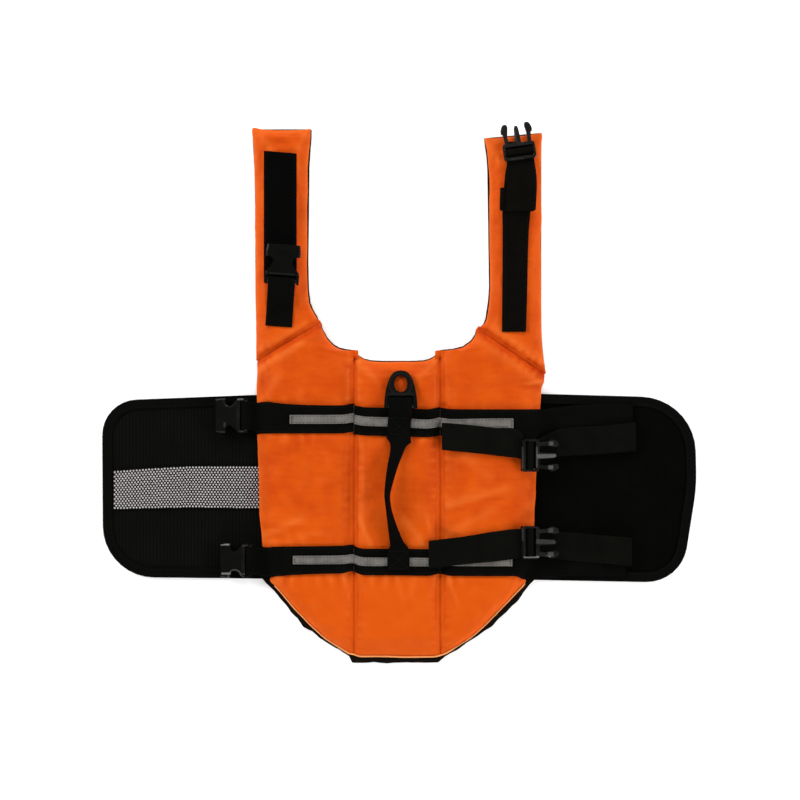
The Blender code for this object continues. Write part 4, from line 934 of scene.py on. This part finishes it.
def inner_rim(tree, centre, inset):
    """The inner edge of a ring-like strip, seen from a centre, broken where there is none."""
    lines, line = [], []
    for degree in range(721):
        turn = Vector((math.cos(math.radians(degree / 2)), math.sin(math.radians(degree / 2))))
        hit = None
        for n in range(60, 420):
            spot = centre + turn * (n * 0.5 * MM)
            if top_of(tree, spot.x, spot.y):
                hit = spot + turn * inset
                break
        if hit:
            line.append(tuple(hit))
        elif line:
            lines.append(line)
            line = []
    return lines + [line] if line else lines


def wing(side):
    """A wing's stretch mesh and its folded, stitched binding."""
    node, trimming = "wing_" + side, "binding_" + side
    bm = gridded(merged(node), 8 * MM)
    lo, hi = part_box(node)
    for vert in bm.verts:
        if vert.co.z > 2.8 * MM:
            vert.co.z += 0.25 * MM * stir(vert.co, 30 * MM, 1.0) - 0.25 * MM
    cloth = piece(node + "_mesh", bm, node, stands_for=(node,))
    trim = halved(merged(trimming))
    for vert in trim.verts:
        if 1.5 * MM < vert.co.z:
            vert.co.z += 0.15 * MM * stir(vert.co, 5 * MM, 9.0)
    edge = piece(trimming + "_tape", trim, "binding", stands_for=(trimming,))
    rounded_edges(edge, 0.3 * MM)
    rims = inner_rim(tree_of([trimming]), Vector(((lo.x + hi.x) / 2, 5 * MM)), 1.3 * MM)
    thread = sewn(trimming + "_thread", rims, surface_of(edge), "thread_black", "binding_black", 3.4 * MM)
    going = [edge, thread]
    if side == "left":
        going += stripe()
    flat_area(node)


KNOT_PITCH = (2.9 * MM, 2.35 * MM)


def stripe():
    """The open-mesh stripe: a dark backing with staggered pale knots, whose rows follow its edges."""
    node = "mesh_stripe"
    back = piece("stripe_backing", halved(merged(node)), "stripe", stands_for=(node,))
    lo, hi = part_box(node)
    ground = tree_of([node])
    probes = [lo.y + n * 0.4 * MM for n in range(int((hi.y - lo.y) / (0.4 * MM)) + 2)]
    knots = bmesh.new()
    rows = int((hi.y - lo.y - 2.4 * MM) / KNOT_PITCH[1]) + 1
    columns = int((hi.x - lo.x - 2.6 * MM) / (KNOT_PITCH[0] / 2)) + 1
    for column in range(columns):
        x = lo.x + 1.5 * MM + column * KNOT_PITCH[0] / 2
        found = [y for y in probes if top_of(ground, x, y)]
        if len(found) < 20:
            continue
        low, high = found[0] + 1.2 * MM, found[-1] - 1.2 * MM
        for row in range(column % 2, rows, 2):
            hit = top_of(ground, x, low + (high - low) * row / (rows - 1))
            if hit:
                bmesh.ops.create_cone(
                    knots,
                    cap_ends=True,
                    segments=6,
                    radius1=0.92 * MM,
                    radius2=0.55 * MM,
                    depth=0.4 * MM,
                    matrix=Matrix.Translation(hit + UP * 0.2 * MM),
                )
    return [back, piece("stripe_knots", knots, "stripe_knot", sharp=60.0)]


for name in ("lining_back", "lining_neck_left", "lining_neck_right"):
    lining(name)
for name in ("left", "right"):
    wing(name)


# ---------------------------------------------------------------- webbing

WEBBING = (  # node, finish, slot, edge rounding in mm, long axis of its edge stitches or None, their thread
    ("band_upper", "web_x", "webbing_black", 0.5, 0, "thread_black"),
    ("band_lower", "web_x", "webbing_black", 0.5, 0, "thread_black"),
    ("tape_upper", "tape", "tape_grey", 0.3, 0, "thread_grey"),
    ("tape_lower", "tape", "tape_grey", 0.3, 0, "thread_grey"),
    ("strap_upper", "strap", "webbing_black", 0.5, None, ""),
    ("strap_lower", "strap", "webbing_black", 0.5, None, ""),
    ("patch_neck", "hook_tape", "webbing_black", 0.4, 1, "thread_black"),
    ("web_neck_left", "web_y", "webbing_black", 0.5, 1, "thread_black"),
    ("strap_neck_right", "strap_neck", "webbing_black", 0.5, 1, "thread_black"),
    ("handle_web", "web_y", "webbing_black", 0.6, None, ""),
)
PATCH_RUN_ON = 13 * MM  # how far the neck patch goes on under its buckle


def boxed(x1, x2, y1, y2):
    """The rows of a crossed box of stitches."""
    return ((x1, y1), (x2, y1)), ((x1, y2), (x2, y2)), ((x1, y1), (x2, y2)), ((x1, y2), (x2, y1))


CHANNELS = (SEAM_LINES[0][0], SEAM_LINES[1][0])
TACK_STITCH = (2.2 * MM, 2.0 * MM, 0.4 * MM)  # pitch, length and half thickness
TACKS = [  # piece, ends in plan of a row of stitches across it, in millimetres, and its thread
    ("tape_upper", (-98.9, 67.0), (-98.9, 79.0), "thread_black"),
    ("tape_upper", (104.2, 65.5), (104.2, 78.0), "thread_black"),
    ("tape_lower", (-96.2, -62.0), (-96.2, -49.0), "thread_black"),
    ("tape_lower", (102.8, -62.0), (102.8, -49.0), "thread_black"),
]
for node, low, high in (("band_upper", 57.0, 90.0), ("band_lower", -74.0, -40.0), ("tape_upper", 60.0, 84.0)):
    TACKS += [(node, (x, low), (x, high), "thread_grey") for x in CHANNELS]
for rows in (boxed(-8.0, 8.0, 76.0, 61.0), boxed(-9.0, 8.0, -47.0, -62.5)):
    TACKS += [("handle_web", *ends, "thread_black") for ends in rows]

END = math.inf
STRETCHES = {  # where each stretch of a strip ends, and how far its low and high edges are drawn aside, in mm
    "band_upper": (
        (-129, 0.0, 0.0),
        (-114, 1.2, 1.2),
        (-42, 1.2, -2.2),
        (0, 2.0, -1.5),
        (38, 0.6, -3.2),
        (136, 1.4, -2.6),
        (END, 0.0, -1.5),
    ),
    "tape_upper": ((-42, 3.2, 0.2), (0, 2.5, 0.2), (38, 0.2, -2.4), (68, 0.6, -1.6), (END, 1.0, -0.6)),
    "band_lower": (
        (-129, 0.0, 0.0),
        (-117, -1.8, -2.2),
        (-103, 0.4, -1.4),
        (-50, 2.8, -1.0),
        (-42, 3.4, -0.8),
        (0, 1.8, -1.8),
        (38, 1.2, -2.2),
        (112, 1.2, -2.0),
        (130, -2.6, 0.0),
        (END, 0.0, 0.0),
    ),
    "tape_lower": ((-42, 2.0, -1.3), (0, 0.4, -2.4), (38, 0.0, -2.8), (END, 0.2, -2.0)),
    "strap_upper": ((98, 1.0, 0.0), (111, -0.7, 0.1), (END, 0.0, 0.0)),
    "strap_lower": ((72, -0.1, -0.9), (111, -0.9, 0.5), (END, 0.0, 0.0)),
    "strap_neck_right": ((190, 1.4, -1.7), (264, 1.3, -0.7), (306, -2.6, 0.6), (END, 0.0, 0.0)),
}
LIFTS = {  # how far a strip's low and high edges are drawn up where it crosses a channel, in millimetres
    "band_upper": (1.2, 1.6),
    "tape_upper": (1.4, 1.6),
    "band_lower": (2.2, 1.6),
    "tape_lower": (1.6, 1.8),
}
LIFT_REACH = 6.5
BLEND = 5.0  # half the distance over which one stretch turns into the next


def drawn_aside(node, run):
    """How far a strip's low and high edges lie from their straight lines at a place along it, in mm."""
    stretches = STRETCHES[node]
    pulls = Vector(stretches[0][1:])
    for (end, _, _), (_, *aside) in zip(stretches, stretches[1:]):
        pulls = pulls.lerp(Vector(aside), eased(run, end - BLEND, end + BLEND))
    for channel in CHANNELS:
        pulls += Vector(LIFTS.get(node, (0.0, 0.0))) * math.exp(-(((run - channel) / LIFT_REACH) ** 2))
    return pulls


def pulled(bm, node):
    """Draws a strip's long edges aside in plan, where it was sewn on unevenly or follows the swell below."""
    if node not in STRETCHES:
        return
    along = 1 if "neck" in node else 0
    tree, (low, high), spans = tree_of([node]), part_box(node), {}
    span = (low[1 - along], high[1 - along])
    for vert in sorted(bm.verts, key=lambda vert: vert.co[along]):
        run = vert.co[along]
        key = round(run / MM)
        if key not in spans:
            spans[key] = span = width_at(tree, run, along, low, high) or span
        begin, end = spans[key]
        share = max(0.0, min(1.0, (vert.co[1 - along] - begin) / (end - begin)))
        low_pull, high_pull = drawn_aside(node, run / MM)
        vert.co[1 - along] += (low_pull + (high_pull - low_pull) * share) * MM


BAND_SWAY, BAND_SWAY_LENGTH = 0.55 * MM, 24 * MM
BAND_DROP = 3.5 * MM  # of the upper band's high edge, under the upper strap
STRAP_LEAN = 10.0 * MM  # sideways run of the upper strap to its buckle
HANDLE_SHIFT = 1.5 * MM


def swayed(node, place):
    """How far a strip's point moves in plan from its straight course."""
    move = Vector((0.0, 0.0, 0.0))
    if node.startswith(("band", "tape")):
        seed = 12.0 if "upper" in node else 31.0
        move.y = BAND_SWAY * stir(Vector((place.x, 0.0, 0.0)), BAND_SWAY_LENGTH, seed)
        move.y *= 1.0 - eased(-place.x, 118 * MM, 126 * MM)
        if node == "band_upper":
            move.y -= BAND_DROP * eased(place.x, 96 * MM, 112 * MM) * eased(-place.y, -64 * MM, -60 * MM)
    if node == "strap_upper" and place.z < 22 * MM:
        beside = max(0.0, min(1.0, (place.x / MM - 93.0) / 19.0)) ** 1.05
        move.y = STRAP_LEAN * beside * (1.0 - eased(place.x, 112.5 * MM, 117 * MM))
    if node == "handle_web":
        move.x = HANDLE_SHIFT * eased(place.y, 34 * MM, 46 * MM) * (1.0 - eased(place.y, 50 * MM, 55 * MM))
    return move


STRIPS = {}
for node, finish, slot, edge, along, thread in WEBBING:
    bm = halved(merged(node))
    moves = [swayed(node, vert.co) for vert in bm.verts]
    pulled(bm, node)
    for vert, move in zip(bm.verts, moves):
        vert.co += move
    if node == "patch_neck":
        foot = min(vert.co.y for vert in bm.verts)
        for vert in bm.verts:
            vert.co.y -= PATCH_RUN_ON * eased(-vert.co.y, -foot - 3 * MM, -foot)
    thing = piece(node + "_cloth", bm, finish, stands_for=(node,), sharp=60.0)
    rounded_edges(thing, edge * MM)
    smoothed(thing)
    STRIPS[node] = surface_of(thing)
    if along is not None:
        lines = long_edges(STRIPS[node], *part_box(node), along, (0.9 if finish == "tape" else 1.6) * MM)
        sewn(node + "_thread", lines, STRIPS[node], thread, slot)
for k, (node, start, end, thread) in enumerate(TACKS):
    line = [tuple(v) for v in resampled([Vector(start) * MM, Vector(end) * MM], 1.0 * MM)]
    sewn("tack_%02d_%s" % (k, node), [line], STRIPS[node], thread, "webbing_black", *TACK_STITCH)


KEEPERS = (  # name, middle in plan and half sizes in millimetres, turn in degrees
    ("keeper_ring", (1.6, 89.5), (12.6, 9.3), 0.0),
    ("keeper_upper", (118.6, 41.0), (6.0, 14.0), 0.0),
    ("keeper_lower", (118.6, -38.0), (6.0, 14.0), 0.0),
    ("keeper_neck", (111.6, 323.5), (13.4, 7.0), -6.0),
)


def keeper(name, middle, half, turn):
    """A flat piece of webbing on the pad, under the slot of a ring or buckle."""
    bm = bmesh.new()
    bmesh.ops.create_grid(bm, x_segments=12, y_segments=12, size=1.0)
    turned = Matrix.Rotation(math.radians(turn), 2)
    for vert in bm.verts:
        spot = (Vector(middle) + turned @ Vector((vert.co.x * half[0], vert.co.y * half[1]))) * MM
        hit = top_of(SWOLLEN, *spot) or hit
        vert.co = Vector((spot.x, spot.y, hit.z + 0.15 * MM))
    walled(piece(name, bm, "web_y", sharp=60.0), 0.8 * MM, 0.0)


for entry in KEEPERS:
    keeper(*entry)


# ---------------------------------------------------------------- hard parts

for node, (_, _, edge) in HARD.items():
    part = NODES[node]
    part.data.materials.clear()
    part.data.materials.append(FINISHES[node])
    weld = part.modifiers.new("weld", "WELD")
    weld.merge_threshold = 0.01 * MM
    flat = part.modifiers.new("flat", "DECIMATE")
    flat.decimate_type = "DISSOLVE"
    flat.angle_limit = math.radians(1.0)
    rounded_edges(part, edge * MM, 3, 28.0)
    level = part.modifiers.new("level", "WEIGHTED_NORMAL")
    level.keep_sharp = True


# ---------------------------------------------------------------- floor, light and camera

VIEW_MIDDLE = Vector((0.9 * MM, 92.6 * MM, 9 * MM))
VIEW_WIDTH = 740.8 * MM
VIEW_DISTANCE = 2.6
SENSOR = 36.0


def stage_floor():
    bm = bmesh.new()
    bmesh.ops.create_grid(bm, x_segments=1, y_segments=1, size=8.0)
    mesh = bpy.data.meshes.new("floor")
    bm.to_mesh(mesh)
    bm.free()
    paper = Finish("white_paper", (1.0, 1.0, 1.0), 0.9, 0.1)
    paper.put("Base Color", (0.97, 0.97, 0.97, 1.0))
    paper.put("Emission Color", (1.0, 1.0, 1.0, 1.0))
    paper.put("Emission Strength", 0.22)
    mesh.materials.append(paper.made)
    placed("floor", mesh)


SKY = ((0.0, 1.1), (0.48, 1.05), (0.66, 0.07))  # sine of the height above the horizon, brightness


def sky():
    """A studio dome, bright round the sides and dark overhead."""
    world = bpy.data.worlds.new("studio")
    bpy.context.scene.world = world
    world.use_nodes = True
    tree = world.node_tree
    place = tree.nodes.new("ShaderNodeTexCoord")
    split = tree.nodes.new("ShaderNodeSeparateXYZ")
    ramp = tree.nodes.new("ShaderNodeValToRGB")
    tree.links.new(place.outputs["Generated"], split.inputs[0])
    tree.links.new(split.outputs["Z"], ramp.inputs[0])
    tree.links.new(ramp.outputs[0], tree.nodes["Background"].inputs["Color"])
    stops = ramp.color_ramp.elements
    stops.new(0.5)
    for stop, (height, grey) in zip(stops, SKY):
        stop.position, stop.color = height, (grey, grey, grey, 1.0)
    tree.nodes["Background"].inputs["Strength"].default_value = 1.0


LAMPS = (  # name, place, size, power
    ("key", (-1.75, 1.0, 1.15), 1.0, 38.0),
    ("fill", (1.9, -0.2, 1.1), 1.0, 28.0),
    ("back", (0.4, 2.0, 1.1), 1.0, 22.0),
    ("front", (-0.1, -1.8, 1.05), 1.0, 18.0),
)


def light(name, place, size, power):
    lamp = bpy.data.lights.new(name, "AREA")
    lamp.size = size
    lamp.energy = power
    thing = placed(name, lamp)
    thing.location = place
    thing.rotation_mode = "QUATERNION"
    thing.rotation_quaternion = (VIEW_MIDDLE - Vector(place)).to_track_quat("-Z", "Y")


def camera():
    lens = bpy.data.cameras.new("camera")
    lens.sensor_width = SENSOR
    lens.lens = SENSOR * VIEW_DISTANCE / VIEW_WIDTH
    lens.clip_end = 50.0
    thing = placed("camera", lens)
    thing.location = VIEW_MIDDLE + UP * VIEW_DISTANCE
    bpy.context.scene.camera = thing


stage_floor()
sky()
for lamp in LAMPS:
    light(*lamp)
camera()
bpy.context.scene.view_settings.view_transform = "Standard"
